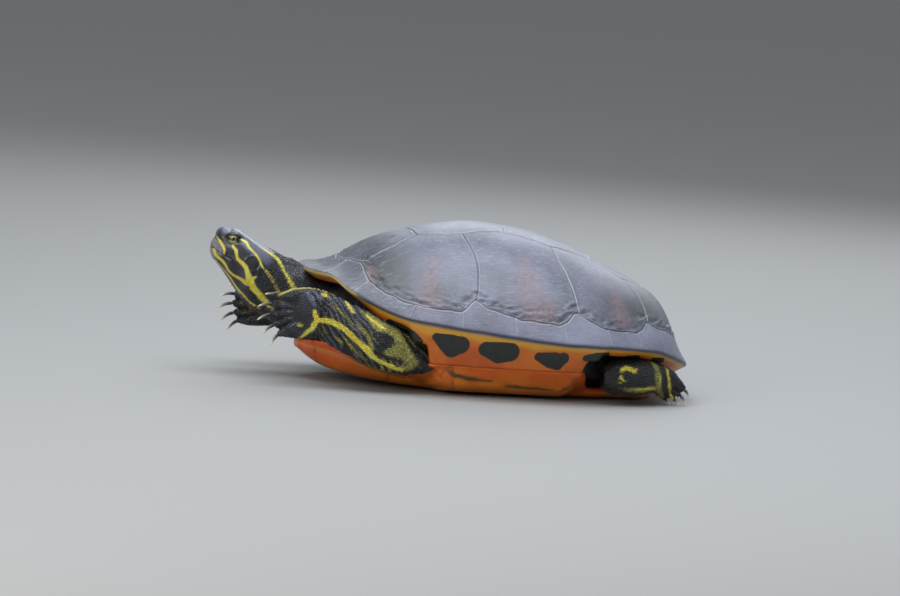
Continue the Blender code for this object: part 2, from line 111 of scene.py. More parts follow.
def measured(line):
    """A broken line, the lengths of its pieces and how far along it each of its points lies."""
    line = np.array(line, float)
    lengths = np.linalg.norm(np.diff(line, axis=0), axis=1)
    return line, lengths, np.concatenate([[0], np.cumsum(lengths)])


def line_distance(p, line):
    """Distance of each point from a broken line, and how far along it, 0 to 1, the nearest place lies."""
    line, lengths, start = measured(line)
    best, place = np.full(len(p), 1e9), np.zeros(len(p))
    for i, length in enumerate(lengths):
        step = (line[i + 1] - line[i]) / length
        t = np.clip((p - line[i]) @ step, 0, length)
        gap = np.linalg.norm(p - line[i] - t[:, None] * step, axis=1)
        closer = gap < best
        best = np.where(closer, gap, best)
        place = np.where(closer, (start[i] + t) / start[-1], place)
    return best, place


def cad_copy(name, cuts=None, grow=0.0):
    """A merged copy of a solid, in metres, kept between two cuts along X and grown outwards."""
    copy = bmesh.new()
    copy.from_mesh(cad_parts[name].data)
    bmesh.ops.remove_doubles(copy, verts=copy.verts, dist=1e-6)
    for place, way in zip(cuts or (), (-1, 1)):
        if place is not None:
            everything = copy.verts[:] + copy.edges[:] + copy.faces[:]
            bmesh.ops.bisect_plane(copy, geom=everything, plane_co=(place * MM, 0, 0), plane_no=(way, 0, 0),
                                   clear_outer=True)
            bmesh.ops.holes_fill(copy, edges=[e for e in copy.edges if e.is_boundary])
    copy.normal_update()
    moves = [v.normal * grow * MM for v in copy.verts]
    for v, move in zip(copy.verts, moves):
        v.co += move
    return copy


def joined(pieces):
    """One mesh of several bmeshes, which are freed."""
    whole = bpy.data.meshes.new("joined")
    total = bmesh.new()
    for piece in pieces:
        piece.to_mesh(whole)
        total.from_mesh(whole)
        piece.free()
    total.to_mesh(whole)
    total.free()
    return whole


def placed(name, data, material=None):
    """A new object in the scene; a mesh that is given a material is smooth."""
    if material:
        data.shade_smooth()
        data.materials.clear()
        data.materials.append(material)
    item = bpy.data.objects.new(name, data)
    bpy.context.scene.collection.objects.link(item)
    return item


def evaluated_mesh(item):
    """The mesh of an object after its modifiers; the object goes."""
    mesh = bpy.data.meshes.new_from_object(item.evaluated_get(bpy.context.evaluated_depsgraph_get()))
    bpy.data.objects.remove(item)
    return mesh


def fused(mesh, step):
    """The mesh remade as one closed surface with squares about step across."""
    item = placed("fuse", mesh)
    remesh = item.modifiers.new("fuse", "REMESH")
    remesh.mode = "VOXEL"
    remesh.voxel_size = step * MM
    return evaluated_mesh(item)


def read_vectors(items, label):
    """One vector an item, as rows."""
    values = np.empty(len(items) * 3)
    items.foreach_get(label, values)
    return values.reshape(-1, 3)


def read_points(mesh):
    """Positions in millimetres."""
    return read_vectors(mesh.vertices, "co") / MM


def read_normals(mesh):
    return read_vectors(mesh.vertex_normals, "vector")


def write_points(mesh, p):
    mesh.vertices.foreach_set("co", (p * MM).ravel())
    mesh.update()


def relax(mesh, rounds, squeeze=0.6, swell=-0.62):
    """Smooths a mesh without shrinking it."""
    p = read_points(mesh)
    ends = np.empty(len(mesh.edges) * 2, np.int64)
    mesh.edges.foreach_get("vertices", ends)
    a, b = ends.reshape(-1, 2).T
    count = np.bincount(np.concatenate([a, b]), minlength=len(p))[:, None]
    for _ in range(rounds):
        for amount in (squeeze, swell):
            total = np.stack([np.bincount(a, p[b, k], len(p)) + np.bincount(b, p[a, k], len(p))
                              for k in range(3)], axis=1)
            p = p + amount * (total / np.maximum(count, 1) - p)
    write_points(mesh, p)


def refine(mesh, chosen):
    """Splits the faces whose middles are chosen into four."""
    work = bmesh.new()
    work.from_mesh(mesh)
    middles = np.array([f.calc_center_median() for f in work.faces]) / MM
    keep = chosen(middles)
    edges = {e for f, wanted in zip(work.faces, keep) if wanted for e in f.edges}
    bmesh.ops.subdivide_edges(work, edges=list(edges), cuts=1, use_grid_fill=True)
    work.to_mesh(mesh)
    work.free()


def head_place(p):
    """Distance behind the beak, height above the head's own level, and side of each point."""
    rel = p - HEAD_ORIGIN
    return rel @ HEAD_ALONG, rel @ HEAD_UP, rel[:, 1]


def head_point(s, n, y):
    return HEAD_ORIGIN + s * HEAD_ALONG + n * HEAD_UP + np.array([0, y, 0])


def claw_ends(name):
    """Root, bend and tip of a claw's solid."""
    solid = cad_copy(name)
    p = np.array([v.co for v in solid.verts]) / MM
    solid.free()
    t = (p - p.mean(axis=0)) @ np.linalg.svd(p - p.mean(axis=0))[2][0]
    low, high = p[t < t.min() + 0.8], p[t > t.max() - 0.8]
    between = p[(t > t.min() + 0.8) & (t < t.max() - 0.8)].mean(axis=0)
    wide, narrow = sorted((low, high), key=lambda end: -np.linalg.norm(end - end.mean(axis=0), axis=1).mean())
    return wide.mean(axis=0), between, narrow.mean(axis=0)


eyes = {}
for side in ("left", "right"):
    low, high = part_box("eye_" + side)
    eyes[side] = np.array((low + high) / 2) / MM

limbs = [limb + "_" + side for side in ("left", "right")
         for limb in ("upper_arm", "forearm", "forefoot", "thigh", "shank", "hindfoot")]
front = ["head", "upper_beak", "lower_beak", "neck", "eye_left", "eye_right"]
front += [name for name in limbs if "arm" in name or "fore" in name]
rear = ["tail"] + [name for name in limbs if name not in front]
skin_parts = []
for names, cuts, step in ((front, (None, TRUNK_CUTS[0]), FUSE_STEP), (rear, (TRUNK_CUTS[1], None), FUSE_STEP_REAR)):
    solids = [cad_copy(name, grow=FUSE_GROW) for name in names] + [cad_copy("trunk", cuts, FUSE_GROW)]
    part = fused(joined(solids), step)
    relax(part, 10)
    skin_parts.append(part)
skin_front, skin_rear = skin_parts
# the head and the forelegs are meshed twice as close, and the lids four times
refine(skin_front, lambda m: ((np.abs(m[:, 1]) < 24) & (head_place(m)[0] < 38) & (m[:, 2] > 50))
       | ((np.abs(m[:, 1]) > 52) & (m[:, 0] < -80) & (m[:, 0] > -140)))
refine(skin_front, lambda m: np.minimum(np.linalg.norm(m - eyes["left"], axis=1),
                                        np.linalg.norm(m - eyes["right"], axis=1)) < LID_REACH)
relax(skin_front, 2)

# Each place on the skin gets its own unwrap: the turn round the middle line of its limb and the length along it.
MIDDLE_LINES = {
    "neck": [(-206, 0, 96), (-178, 0, 76), (-160, 0, 62), (-140, 0, 54), (-112, 0, 49), (-60, 0, 46)],
    "foreleg_left": [(-90, -34, 45), (-84, -70, 34), (-94, -74, 34), (-124, -64, 47), (-142, -60, 51),
                     (-178, -57, 47)],
    "hindleg_left": [(90, -30, 34), (86, -72, 24), (91, -74, 20), (109, -64, 18.7), (135, -63, 7)],
    "tail": [(100, 0, 24), (118, 0, 21), (124, 5, 15.5), (129, 13, 9.8), (131, 23, 6), (129.5, 34, 3.4)],
}
for limb in ("foreleg", "hindleg"):
    MIDDLE_LINES[limb + "_right"] = [(x, -y, z) for x, y, z in MIDDLE_LINES[limb + "_left"]]


def limb_of(p):
    """Index of the limb that each point belongs to, in the order of MIDDLE_LINES."""
    side = np.where(p[:, 1] < 0, 0, 1)
    names = list(MIDDLE_LINES)
    legs = [[names.index(limb + "_" + word) for word in ("left", "right")] for limb in ("foreleg", "hindleg")]
    fore = np.choose(side, legs[0])
    hind = np.choose(side, legs[1])
    at_front = np.where(np.abs(p[:, 1]) < 31, names.index("neck"), fore)
    at_rear = np.where(np.abs(p[:, 1]) < 30, names.index("tail"), hind)
    bent_tail = (p[:, 1] > 0) & (p[:, 0] > 112) & (p[:, 1] < 40) & (p[:, 2] < 14)
    at_rear = np.where(bent_tail, names.index("tail"), at_rear)
    return np.where(p[:, 0] < 0, at_front, at_rear)


def unwrap(p, line):
    """Turn round a middle line from 0 to 1, millimetres along it, and the direction of the line there."""
    line, lengths, start = measured(line)
    best = np.full(len(p), 1e9)
    turn, place, lie = np.zeros(len(p)), np.zeros(len(p)), np.zeros((len(p), 3))
    for i, length in enumerate(lengths):
        step = (line[i + 1] - line[i]) / length
        t = np.clip((p - line[i]) @ step, 0, length)
        out = p - line[i] - t[:, None] * step
        gap = np.linalg.norm(out, axis=1)
        closer = gap < best
        across = np.cross(step, (0, 0, 1.0))
        across /= np.linalg.norm(across)
        up = np.cross(across, step)
        best = np.where(closer, gap, best)
        turn = np.where(closer, np.arctan2(out @ across, out @ up) / (2 * math.pi) + 0.5, turn)
        place = np.where(closer, start[i] + t, place)
        lie[closer] = step
    return turn, place, lie


CLEFT_DEPTH = 2.4            # between the toes
CLAW_NODES = sorted(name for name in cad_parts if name.startswith("claw_"))
WRISTS = {"fore_left": (-140, -62, 51), "fore_right": (-149, 62, 46), "hind_left": (112, -64, 17.5),
          "hind_right": (112, 64, 17.5)}
toes = {}
for name in CLAW_NODES:
    group = name[5:-2]
    toes.setdefault(group, []).append((claw_ends(name)[0], np.array(WRISTS[group], float)))


def between_toes(p):
    """1 in the clefts between the toes, 0 on the toes and on the rest of the animal."""
    cleft = np.zeros(len(p))
    for lines in toes.values():
        tips = np.array([tip for tip, wrist in lines])
        near = np.flatnonzero(((p > tips.min(axis=0) - 16) & (p < tips.max(axis=0) + 16)).all(axis=1))
        if not len(near):
            continue
        gaps, places = [], []
        for tip, wrist in lines:
            gap, place = line_distance(p[near], [tip + (tip - wrist) * 0.1, wrist])
            gaps.append(gap)
            places.append(place)
        order = np.argsort(np.array(gaps), axis=0)
        sorted_gaps = np.sort(np.array(gaps), axis=0)
        place = np.take_along_axis(np.array(places), order[:1], axis=0)[0]
        share = hump(sorted_gaps[1] - sorted_gaps[0], 1.4) * ease(0.72, 0.40, place)
        cleft[near] = np.maximum(cleft[near], share)
    return cleft


def pleats(p, direction, pitch, sway, seed):
    """Ridges of loose skin, round on top and creased between: from -0.6 in a crease to 0.4 on a ridge."""
    wander = wandering(p, 9, sway, range(seed, seed + 3))
    return np.abs(np.sin((p + wander) @ np.array(direction) * math.pi / pitch)) - 0.6


def arm_pleats(p):
    return pleats(p, (0.80, 0.0, 0.60), 3.4, 2.6, 3)


def folds(p):
    """How far each point of the skin stands out because of its folds and creases."""
    s, n, _ = head_place(p)
    out = np.abs(p[:, 1])
    patchy = 0.65 + 0.35 * noise(p, 12, 8)
    # rings of loose skin on the neck, deeper towards the shell and shallow on the nape
    slack = ease(36, 60, s) * (out < 34) * (p[:, 0] < -100)
    slack *= 1 - 0.6 * ease(14, 21, n + 0.25 * (s - 40))
    depth = slack * 0.95 * pleats(p, (0.80, 0.0, -0.60), 3.3, 2.0, 13) * patchy
    # long folds that fan from the wrist back into the opening of the shell
    leg = ease(30, 40, out) * ease(-141, -132, p[:, 0]) * ease(-58, -72, p[:, 0])
    smooth_elbow = 1 - 0.75 * ease(-104, -92, p[:, 0]) * ease(70, 78, out)
    depth = depth + leg * smooth_elbow * 1.45 * arm_pleats(p) * patchy
    # creases across the wrist and round the root of the hand
    wrist = hump(p[:, 0] + 137, 4.5) * (out > 34)
    depth = depth + wrist * 1.2 * pleats(p, (1.0, 0.0, 0.15), 2.6, 1.2, 17)
    hind = (p[:, 0] > 70) * ease(28, 40, out) * (1 - ease(112, 118, p[:, 0]))
    depth = depth + hind * 0.85 * pleats(p, (0.85, 0.2, -0.5), 3.6, 2.2, 23) * patchy
    depth = depth - CLEFT_DEPTH * between_toes(p)
    return depth + 0.12 * noise(p, 3.0, 11) * (s > 40)


def eye_opening(out):
    """1 on the edge of the opening between the lids, smaller inside it; out is the place from the eye's middle."""
    half_length, half_height, level, tilt = EYE_OPENING
    turn = math.radians(tilt)
    up = out[:, 2] - level
    across, up = (out[:, 0] * math.cos(turn) - up * math.sin(turn), out[:, 0] * math.sin(turn) + up * math.cos(turn))
    return (np.abs(across) / half_length)**2.0 + (np.abs(up) / half_height)**2.0


FLAP_LEVEL = 12.5            # the loose skin of the elbow hangs to this height against the bridge
OPENING_FILL = 12.0          # how far elbow and knee run into the ends of the bridge
NAPE_RISE = 6.5


def tucked(p):
    """Fits the skin to the openings of the shell: the elbow goes in behind the rim and runs back, the nape stands
    up against the front and the knee runs forward."""
    p = p.copy()
    out = np.abs(p[:, 1])
    rise = np.clip((p[:, 2] - 22.5) / 28.8, 0, 1)
    at_elbow = ease(-66, -63, p[:, 0] + 22 * rise) * (p[:, 0] < 0)
    limit = 74.0 + (p[:, 0] + 70) * 0.33 + 12 * rise
    p[:, 1] = np.sign(p[:, 1]) * (out - np.maximum(out - limit, 0) * at_elbow * (out > 40))
    tip = ease(-79, -63, p[:, 0]) * (p[:, 0] < -40) * (out > 40)
    p[:, 2] += (FLAP_LEVEL - p[:, 2]) * 0.42 * tip * ease(64, 46, p[:, 2])
    p[:, 0] += OPENING_FILL * tip * ease(64, 50, p[:, 2])
    nape = ease(-153, -141, p[:, 0]) * ease(-127, -139, p[:, 0]) * ease(54, 68, p[:, 2]) * ease(34, 22, out)
    p[:, 2] += NAPE_RISE * nape
    p[:, 0] -= OPENING_FILL * ease(94, 72, p[:, 0]) * (p[:, 0] > 40) * ease(42, 58, out) * ease(56, 44, p[:, 2])
    return p


def head_shape(p, normals):
    """Moves the points of the head: lids, nostrils, mouth corner, ear and the hollows of the face."""
    p = p.copy()
    s, n, side = head_place(p)
    on_head = ease(50, 38, s) * (p[:, 2] > 50)
    push = np.zeros(len(p))
    flank = ease(4, 9, np.abs(side))
    # the ear: a low ring round a flat drum
    ear = np.hypot(s - 30.4, n - 7.2)
    push += flank * (0.35 * hump(ear - 5.4, 0.8) - 0.25 * ease(5.2, 4.2, ear))
    # the jaw muscle behind the mouth and the hollow between it and the eye
    push += flank * 0.7 * hump(s - 24, 7, n + 4.5, 3.5)
    push -= flank * 0.5 * hump(s - 19, 5, n - 3.0, 2.5)
    # the mouth runs on behind the beak and turns down at its corner
    mouth, along = line_distance(np.stack([s, n], axis=1), MOUTH_LINE)
    push -= ease(1, 3, np.abs(side)) * 0.95 * hump(mouth, 0.55) * (1 - 0.6 * ease(0.7, 1.0, along))
    push += flank * 0.30 * hump(mouth - 1.3, 0.8) * ease(11, 14, s)
    # the dip behind the tip of the snout, before the brow rises
    push -= 1.0 * hump(s - 4.6, 2.4) * ease(13, 16.5, n)
    push += 0.55 * hump(s - 10.5, 3.4) * ease(14, 17.5, n)
    # folds behind the jaw and across the throat
    for place, depth in ((36.0, 0.45), (40.5, 0.5)):
        push -= depth * hump(s - place + 0.25 * (n - 2), 0.9) * ease(16, 8, n)
    # the ridge from the nostril to the brow and the brow above each eye
    for x, height in ((8.5, 0.55), (13.5, 0.35)):
        push += height * hump(np.abs(side) - x, 2.0, n - 17.6, 2.0) * ease(2, 7, s) * ease(27, 17, s)
    p += normals * (push * on_head)[:, None]
    # the blunt end of the snout above the beak
    blunt = 1.5 * hump(s - 0.8, 2.6) * ease(6.0, 10.0, n) * ease(17.5, 14.5, n)
    p -= HEAD_ALONG * blunt[:, None]
    # the nostrils, at the tip just under its top edge
    for way in (-1, 1):
        centre = head_point(0.6, 11.4, way * 1.75)
        near = np.linalg.norm(p - centre, axis=1)
        p += HEAD_ALONG * (1.5 * hump(near, 0.85))[:, None]
        p -= HEAD_ALONG * (0.25 * hump(near - 1.5, 0.5))[:, None]
    # the lids: a rim round each eye with an opening like an almond
    for centre in eyes.values():
        out = p - centre
        reach = np.linalg.norm(out, axis=1)
        outward = out[:, 1] * math.copysign(1, centre[1])
        opening = eye_opening(out)
        facing = ease(0.3, 1.8, outward) * ease(9.4, 7.6, reach)
        inside = ease(1.12, 0.92, opening)
        rim = hump(opening - 1.38, 0.26)
        crease = hump(opening - 2.35, 0.30)
        lid = EYE_RADIUS + LID_THICKNESS + 0.75 * rim - 0.60 * crease
        over_ball = facing * ease(3.6, 2.5, opening)
        wanted = lid + (EYE_RADIUS - 0.9 - lid) * inside
        mixed = np.maximum(reach, wanted) * (1 - inside) + wanted * inside
        p = p + out / np.maximum(reach, 0.01)[:, None] * ((mixed - reach) * over_ball)[:, None]
    return p


def shape_skin(mesh):
    """Sinks the fused solids to the skin, then folds it and shapes the face."""
    p, normals = read_points(mesh), read_normals(mesh)
    s = head_place(p)[0]
    depth = FUSE_GROW + COAT_DEPTH * ease(30, 44, s)
    write_points(mesh, p - normals * depth[:, None])
    relax(mesh, 2)
    p, normals = read_points(mesh), read_normals(mesh)
    p = p + normals * folds(p)[:, None]
    write_points(mesh, p)
    write_points(mesh, tucked(head_shape(p, read_normals(mesh))))


shape_skin(skin_front)
shape_skin(skin_rear)
work = bmesh.new()
for part in (skin_front, skin_rear):
    work.from_mesh(part)
work.from_mesh(joined([cad_copy("trunk", TRUNK_CUTS, -COAT_DEPTH)]))
skin_mesh = bpy.data.meshes.new("skin")
work.to_mesh(skin_mesh)
work.free()
skin_points = read_points(skin_mesh)

# The markings: yellow stripes on near-black, olive patches on the loose skin beside the neck, orange between the
# toes.  A stripe is a broken line on the animal's left: behind the beak, above the head's level, out from the
# middle and its width, or for the legs X, Z, out from the middle and width.  The right side has the same.  On
# the legs the distance out counts for less, OUT_SHARE, so that a stripe doesn't end where a fold swells.
HEAD_STRIPES = {
    "lip": [(0.4, 6.8, 3, 0.9), (1.8, 6, 6, 1.3), (4.4, 5.3, 8.9, 1.8), (7.5, 4.4, 10.7, 1.8),
            (9.9, 2.2, 11.2, 1.6), (10.8, 0.4, 10.9, 1)],
    "cheek": [(12.2, 8.4, 13, 1.6), (15.8, 7.3, 14.5, 2.1), (17.9, 5.1, 15.1, 2.2), (20.1, 3.2, 15.2, 2.4),
              (24.9, 3.1, 16.7, 2.9), (28.2, 2.3, 17, 3.2), (31, 0.4, 17, 3.6), (34.5, -2, 16.6, 4.6)],
    "jaw": [(4.6, -2, 5.6, 2.4), (8, -3.9, 6.2, 2.6), (13.4, -4.3, 8.5, 2.6), (17.4, -5, 9.4, 2.7),
            (20.9, -6.7, 9.2, 2.6), (26, -6.9, 11, 2.5), (31.7, -6.6, 13.2, 2.8), (36.6, -5.8, 14.7, 4)],
    "throat_side": [(34.5, -2.4, 16.6, 4.6), (42.4, -6.1, 15.2, 4.8), (49.1, -7.2, 15.4, 4.8),
                    (54.6, -8.3, 15.6, 4.6), (62, -10.5, 16, 4.4), (72, -14, 17, 4.2)],
    "spur": [(35.2, -2.7, 16.2, 2.6), (38.3, 1.6, 17.8, 1)],
    "chin": [(3.2, -2.6, 2.4, 0.8), (6.2, -5, 2.6, 0.9), (11.4, -7.1, 2.9, 1), (19.4, -8.6, 4.9, 1.5),
             (25.5, -9.8, 6.7, 2), (32.4, -12.3, 6.5, 2.2), (38.3, -14, 6.8, 2.4), (45.8, -15.2, 7.2, 2.4),
             (51.5, -15.3, 8.4, 2.6), (58, -15.4, 10, 2.6), (68, -18, 12, 2.6)],
    "behind_eye": [(14.4, 15.4, 11, 1.4), (17.9, 16.3, 12.1, 2.3), (21.4, 14.9, 14, 1.9), (27.1, 14.2, 15.6, 1.5),
                   (31.8, 12.6, 16.9, 1.9), (35.3, 10.4, 18, 1.6), (39.7, 9.2, 18.1, 1), (43.8, 8.8, 18.1, 1),
                   (49.1, 6.7, 18.2, 1.4), (53.3, 4.7, 18.7, 1.9), (58, 2.5, 19.2, 2.6), (66, -0.5, 20.5, 2.6)],
    "temple": [(15, 18.7, 7.2, 0.5), (26, 20.2, 9.6, 0.7), (33.9, 20.6, 10.8, 1.8), (38.5, 21.2, 11.2, 2.8),
               (44.2, 20.9, 12.5, 3), (49.2, 18.8, 14.8, 2.4), (53.6, 16.2, 16.6, 2.2), (58, 14.5, 17.8, 2.6),
               (62.7, 12.2, 19.3, 2.4), (70, 9, 21.5, 2.4), (80, 5, 24, 2.4)],
    "crown": [(2.4, 16.2, 0, 0.9), (12, 20.4, 0, 0.8), (24, 21.7, 0, 0.5)],
    "nape": [(40, 24.4, 3.4, 0.6), (54, 22.5, 4.2, 1.4), (70, 18.5, 5, 1.4)],
}
LEG_STRIPES = {
    "arm": [(-136, 48, 70.5, 3), (-131.1, 47.7, 71.9, 3.6), (-126.5, 46.8, 74.2, 4), (-121.8, 44.9, 76.4, 4),
            (-117.7, 42.1, 78.3, 3.8), (-110.7, 35.9, 81.4, 3.4), (-103.6, 30.2, 83.3, 4.2), (-99.9, 26.2, 84, 3.4),
            (-95.4, 23.3, 84, 2.8), (-89.5, 20.8, 83.9, 2.6), (-82.9, 18.6, 83.2, 2.8), (-77, 17.4, 82.3, 2.6)],
    "upper": [(-118.5, 61.5, 69, 1.4), (-115.9, 57.8, 73.5, 2.4), (-113.3, 54.7, 76, 1.6)],
    "field_edge": [(-104, 53.4, 77, 1.6), (-99, 49.6, 80.4, 2.2), (-95, 46.4, 82.4, 2.2),
                   (-91.5, 45.2, 83.2, 1.2)],
    "wrist": [(-139.4, 53.5, 68.7, 3.1), (-137.6, 47.5, 69.1, 3.6), (-139.9, 41.9, 67.8, 2.9),
              (-147, 34.7, 63.5, 2.1)],
    "hand_edge": [(-164.2, 62.4, 59, 0.7), (-156, 66.6, 59.5, 0.8), (-147, 69, 60, 0.8),
                  (-138, 68.6, 60.6, 0.8), (-131, 66.5, 62, 0.8)],
    "hand_spot": [(-149.6, 43.3, 66, 2.2), (-148.2, 43, 66, 2.2)],
    "elbow_knob": [(-134, 65.4, 65.6, 2.6), (-132.6, 65, 65.9, 2.6)],
    "inner_arm": [(-120, 60, 50, 2), (-100, 50, 50, 2.6), (-84, 40, 52, 2.6)],
    "knee": [(76.6, 23.4, 84.6, 1.2), (77.6, 26.6, 83.8, 2.2), (81.2, 27.4, 85, 3.4), (84.6, 26.4, 86.4, 3),
             (86.9, 24.9, 86.6, 1.6), (88.6, 26.8, 85.6, 1)],
    "knee_low": [(76.2, 23.6, 84.4, 1.2), (76.6, 21, 86, 1.5), (78.7, 19.1, 86.7, 1.3), (76.1, 17.4, 85.9, 1.2),
                 (75.6, 13.6, 79, 1.4)],
    "shank_low": [(85, 12.3, 86.5, 1), (93.3, 13.2, 84, 1.6), (99.9, 13.2, 80.3, 2.2), (105, 13.2, 76.6, 1.2)],
    "foot_line": [(112.5, 29, 67, 1.4), (114.3, 24.5, 69.3, 1.8), (115.5, 17.5, 69.7, 1.8),
                  (118.1, 10.3, 67.1, 1.8), (120.5, 4.3, 63.5, 1.6)],
    "heel": [(107, 28.5, 66, 1), (107.8, 22, 75, 1.2), (107.5, 17, 76, 1.2), (110, 8, 71, 1.4)],
    "tail_side": [(113, 22, 8, 1.4), (126, 13, 12, 1.2), (131, 6.5, 24, 0.9)],
}
# the olive patches of foreleg and shank, the black inside the largest patch, and painted bluish grey glints on the
# wrist
OLIVE_STRIPES = [
    [(-107.5, 56.4, 75, 2), (-100.2, 50.9, 79.5, 6.4), (-95.1, 46.6, 82.1, 8), (-89.5, 43.9, 83.4, 8),
     (-83.6, 41.6, 83, 9), (-79.8, 38, 84.2, 10), (-79, 34, 85.6, 11), (-76.6, 30, 85.4, 10.5),
     (-73.4, 26, 84.4, 9.5), (-70.8, 22.6, 83, 7), (-72.8, 19, 82.2, 4.4), (-79, 18.4, 82.4, 3)],
    [(-94, 27.2, 86.1, 3.2), (-86.5, 29.6, 86.3, 6.4), (-80, 30.6, 86, 6.4)],
    [(-111.3, 46.9, 80.2, 1.6), (-107.1, 43.1, 82.2, 2.6), (-102.9, 38.7, 83.9, 2.4), (-101.3, 34.5, 84.5, 3),
     (-100.6, 29.5, 84.2, 3.4)],
    [(-118.5, 37, 77.4, 0.8), (-112.7, 29.9, 79.1, 1.8), (-108.2, 26, 79.4, 1.6), (-103.2, 22.8, 80.4, 0.9)],
    [(-128.5, 60, 70, 0.8), (-123, 55.5, 73.8, 1.6), (-117.5, 50.5, 77.2, 1.6), (-113, 46.5, 79.8, 0.8)],
    [(76, 13.5, 80, 2.4), (86, 11.6, 84, 3), (95, 12.4, 80, 3.6), (104, 14, 76, 3)],
    [(100, 34, 72, 1.6), (104, 28, 74, 4), (106, 20, 75, 5), (108, 12, 73, 5), (112, 5, 66, 3)],
]
DARK_STRIPES = [
    [(-98.5, 41, 84.7, 5), (-91.2, 39.7, 85.6, 6.4), (-88, 38, 85.8, 6.4), (-90, 35.4, 86.1, 5.6),
     (-93.6, 32.4, 86.1, 6), (-96.1, 28.9, 85.6, 5)],
    [(-96.4, 28.4, 85.4, 3.6), (-90.2, 25.9, 85.5, 2.6), (-83, 24.2, 85.7, 2.8), (-76.8, 22.6, 84.6, 1.8)],
    [(-80, 45, 80.5, 1.8), (-74.9, 37.9, 82.4, 3), (-71.4, 32.5, 82.9, 3.6), (-66.8, 27.3, 80.8, 4.2),
     (-62, 22, 79.5, 4.6), (-59, 16, 78, 4.6), (-66, 16.4, 79, 3), (-72.2, 14.9, 77.5, 1.8)],
]
WRIST_GLINTS = [[(-145.2, 66.2, 65.3, 1.6), (-142.4, 62.6, 67.1, 3.6), (-139.6, 58.2, 68.3, 2.2)],
                 [(-139.6, 66.6, 66, 1.4), (-136, 62.4, 68, 2.6)]]
OUT_SHARE = 0.25
FAR_HAND_SHIFT = (9.0, 5.0)   # the right forefoot lies this much further forward and lower


def band(q, line, soft):
    """1 on a stripe whose width is its keys' last number, 0 off it, soft over this many millimetres each way."""
    line = np.array(line, float)
    gap, place = line_distance(q, line[:, :3])
    _, lengths, start = measured(line[:, :3])
    half = np.interp(place, start / lengths.sum(), line[:, 3]) / 2
    return 1 - ease(half - soft, half + soft, gap)


def bands(q, lines, soft):
    """1 on any of several stripes, 0 off them all."""
    share = np.zeros(len(q))
    for line in lines:
        share = np.maximum(share, band(q, line, soft))
    return share


def on_leg(lines):
    """The legs' stripes, with the distance out shortened as for the points they are painted on."""
    return [[(x, z, out * OUT_SHARE, width) for x, z, out, width in line] for line in lines]


def markings(p, edge=0.35):
    """Shares of yellow, olive, orange and a lighter grey at each point, the grey being a painted bluish sheen; edge
    is how soft a yellow stripe ends.
    """
    wander = wandering(p, 4.5, 0.45, (21, 22, 23))
    q = p + wander
    s, n, side = head_place(q)
    on_head = np.abs(p[:, 1]) < 31
    front = p[:, 0] < 0
    yellow, olive, dark = np.zeros(len(p)), np.zeros(len(p)), np.zeros(len(p))
    head = np.flatnonzero(on_head & front)
    head_q = np.stack([s, n, np.abs(side)], axis=1)[head]
    yellow[head] = bands(head_q, HEAD_STRIPES.values(), edge)
    reach = np.clip((-70 - p[:, 0]) / 73, 0, 1) * (p[:, 1] > 0) * front
    legs = np.flatnonzero(~on_head | ~front)
    leg_q = np.stack([q[:, 0] + FAR_HAND_SHIFT[0] * reach, q[:, 2] + FAR_HAND_SHIFT[1] * reach,
                      np.abs(q[:, 1]) * OUT_SHARE], axis=1)[legs]
    yellow[legs] = bands(leg_q, on_leg(LEG_STRIPES.values()), edge)
    olive[legs] = bands(leg_q, on_leg(OLIVE_STRIPES), 0.7)
    dark[legs] = bands(leg_q, on_leg(DARK_STRIPES), 0.5)
    # the ridges of the loose skin on the foreleg are streaked with olive, in patches
    loose = ease(-138, -126, p[:, 0]) * ease(36, 60, np.abs(p[:, 1])) * front * ease(-52, -60, p[:, 0])
    ridge = ease(0.02, 0.32, arm_pleats(p + 0.3 * wander)) if loose.any() else 0 * loose
    streak = ease(0.05, 0.45, noise(q, 11.0, 31) + 0.5 * noise(q, 5.0, 32)) * (np.abs(p[:, 1]) > 58)
    olive = np.maximum(olive * (0.80 + 0.20 * ease(-0.9, 0.2, noise(q, 2.4, 33))), loose * ridge * streak)
    olive *= (1 - dark) * (1 - yellow)
    plain = np.clip(olive[legs] * 1.4, 0, 1)
    # under each eye the edge of the lid is olive, and the lids are black
    eyelid = np.zeros(len(p))
    for centre in eyes.values():
        near = np.flatnonzero(np.linalg.norm(p - centre, axis=1) < 8)
        if len(near):
            opening = eye_opening(p[near] - centre)
            lid = ease(1.02, 1.12, opening) * ease(1.75, 1.5, opening)
            lid *= ease(0.2, -1.0, p[near, 2] - centre[2]) * ease(4.2, 2.4, np.abs(p[near, 0] - centre[0]))
            olive[near] = np.maximum(olive[near], 0.6 * lid)
            eyelid[near] = ease(3.4, 2.2, opening)
    # orange skin shows between the front toes
    web = 0.8 * between_toes(p) * front * ease(0.55, 0.85, 0.5 + 0.5 * noise(q, 3.0, 41)) * (p[:, 0] < -162)
    # a painted bluish sheen on the black skin, in random patches
    grey = 0.60 * np.clip(0.5 + 0.5 * noise(p, 7.0, 51), 0, 1)
    # the grey is painted sheen: stronger on the crown, in streaks on the ridges of the loose skin, weaker behind,
    # none on the lids and the black of the patches, and painted glints on the wrist
    grey[head] = np.maximum(grey[head], 0.75 * ease(9, 14, n[head]) * ease(46, 36, s[head]))
    if loose.any():
        grey = np.clip(grey * (1 - 0.8 * loose) + 0.62 * loose * ridge, 0, 1)
    grey *= (1 - eyelid) * (1 - dark) * np.where(front, 1.0, 0.45)
    grey[legs] = np.maximum(grey[legs] * (1 - plain), 1.5 * bands(leg_q, on_leg(WRIST_GLINTS), 0.5))
    return yellow, olive, web * (1 - yellow), grey


def paint(mesh, name, *columns):
    """Stores four numbers a point as a colour attribute."""
    layer = mesh.attributes.new(name, "FLOAT_COLOR", "POINT")
    layer.data.foreach_set("color", np.stack(columns, axis=1).astype(np.float32).ravel())


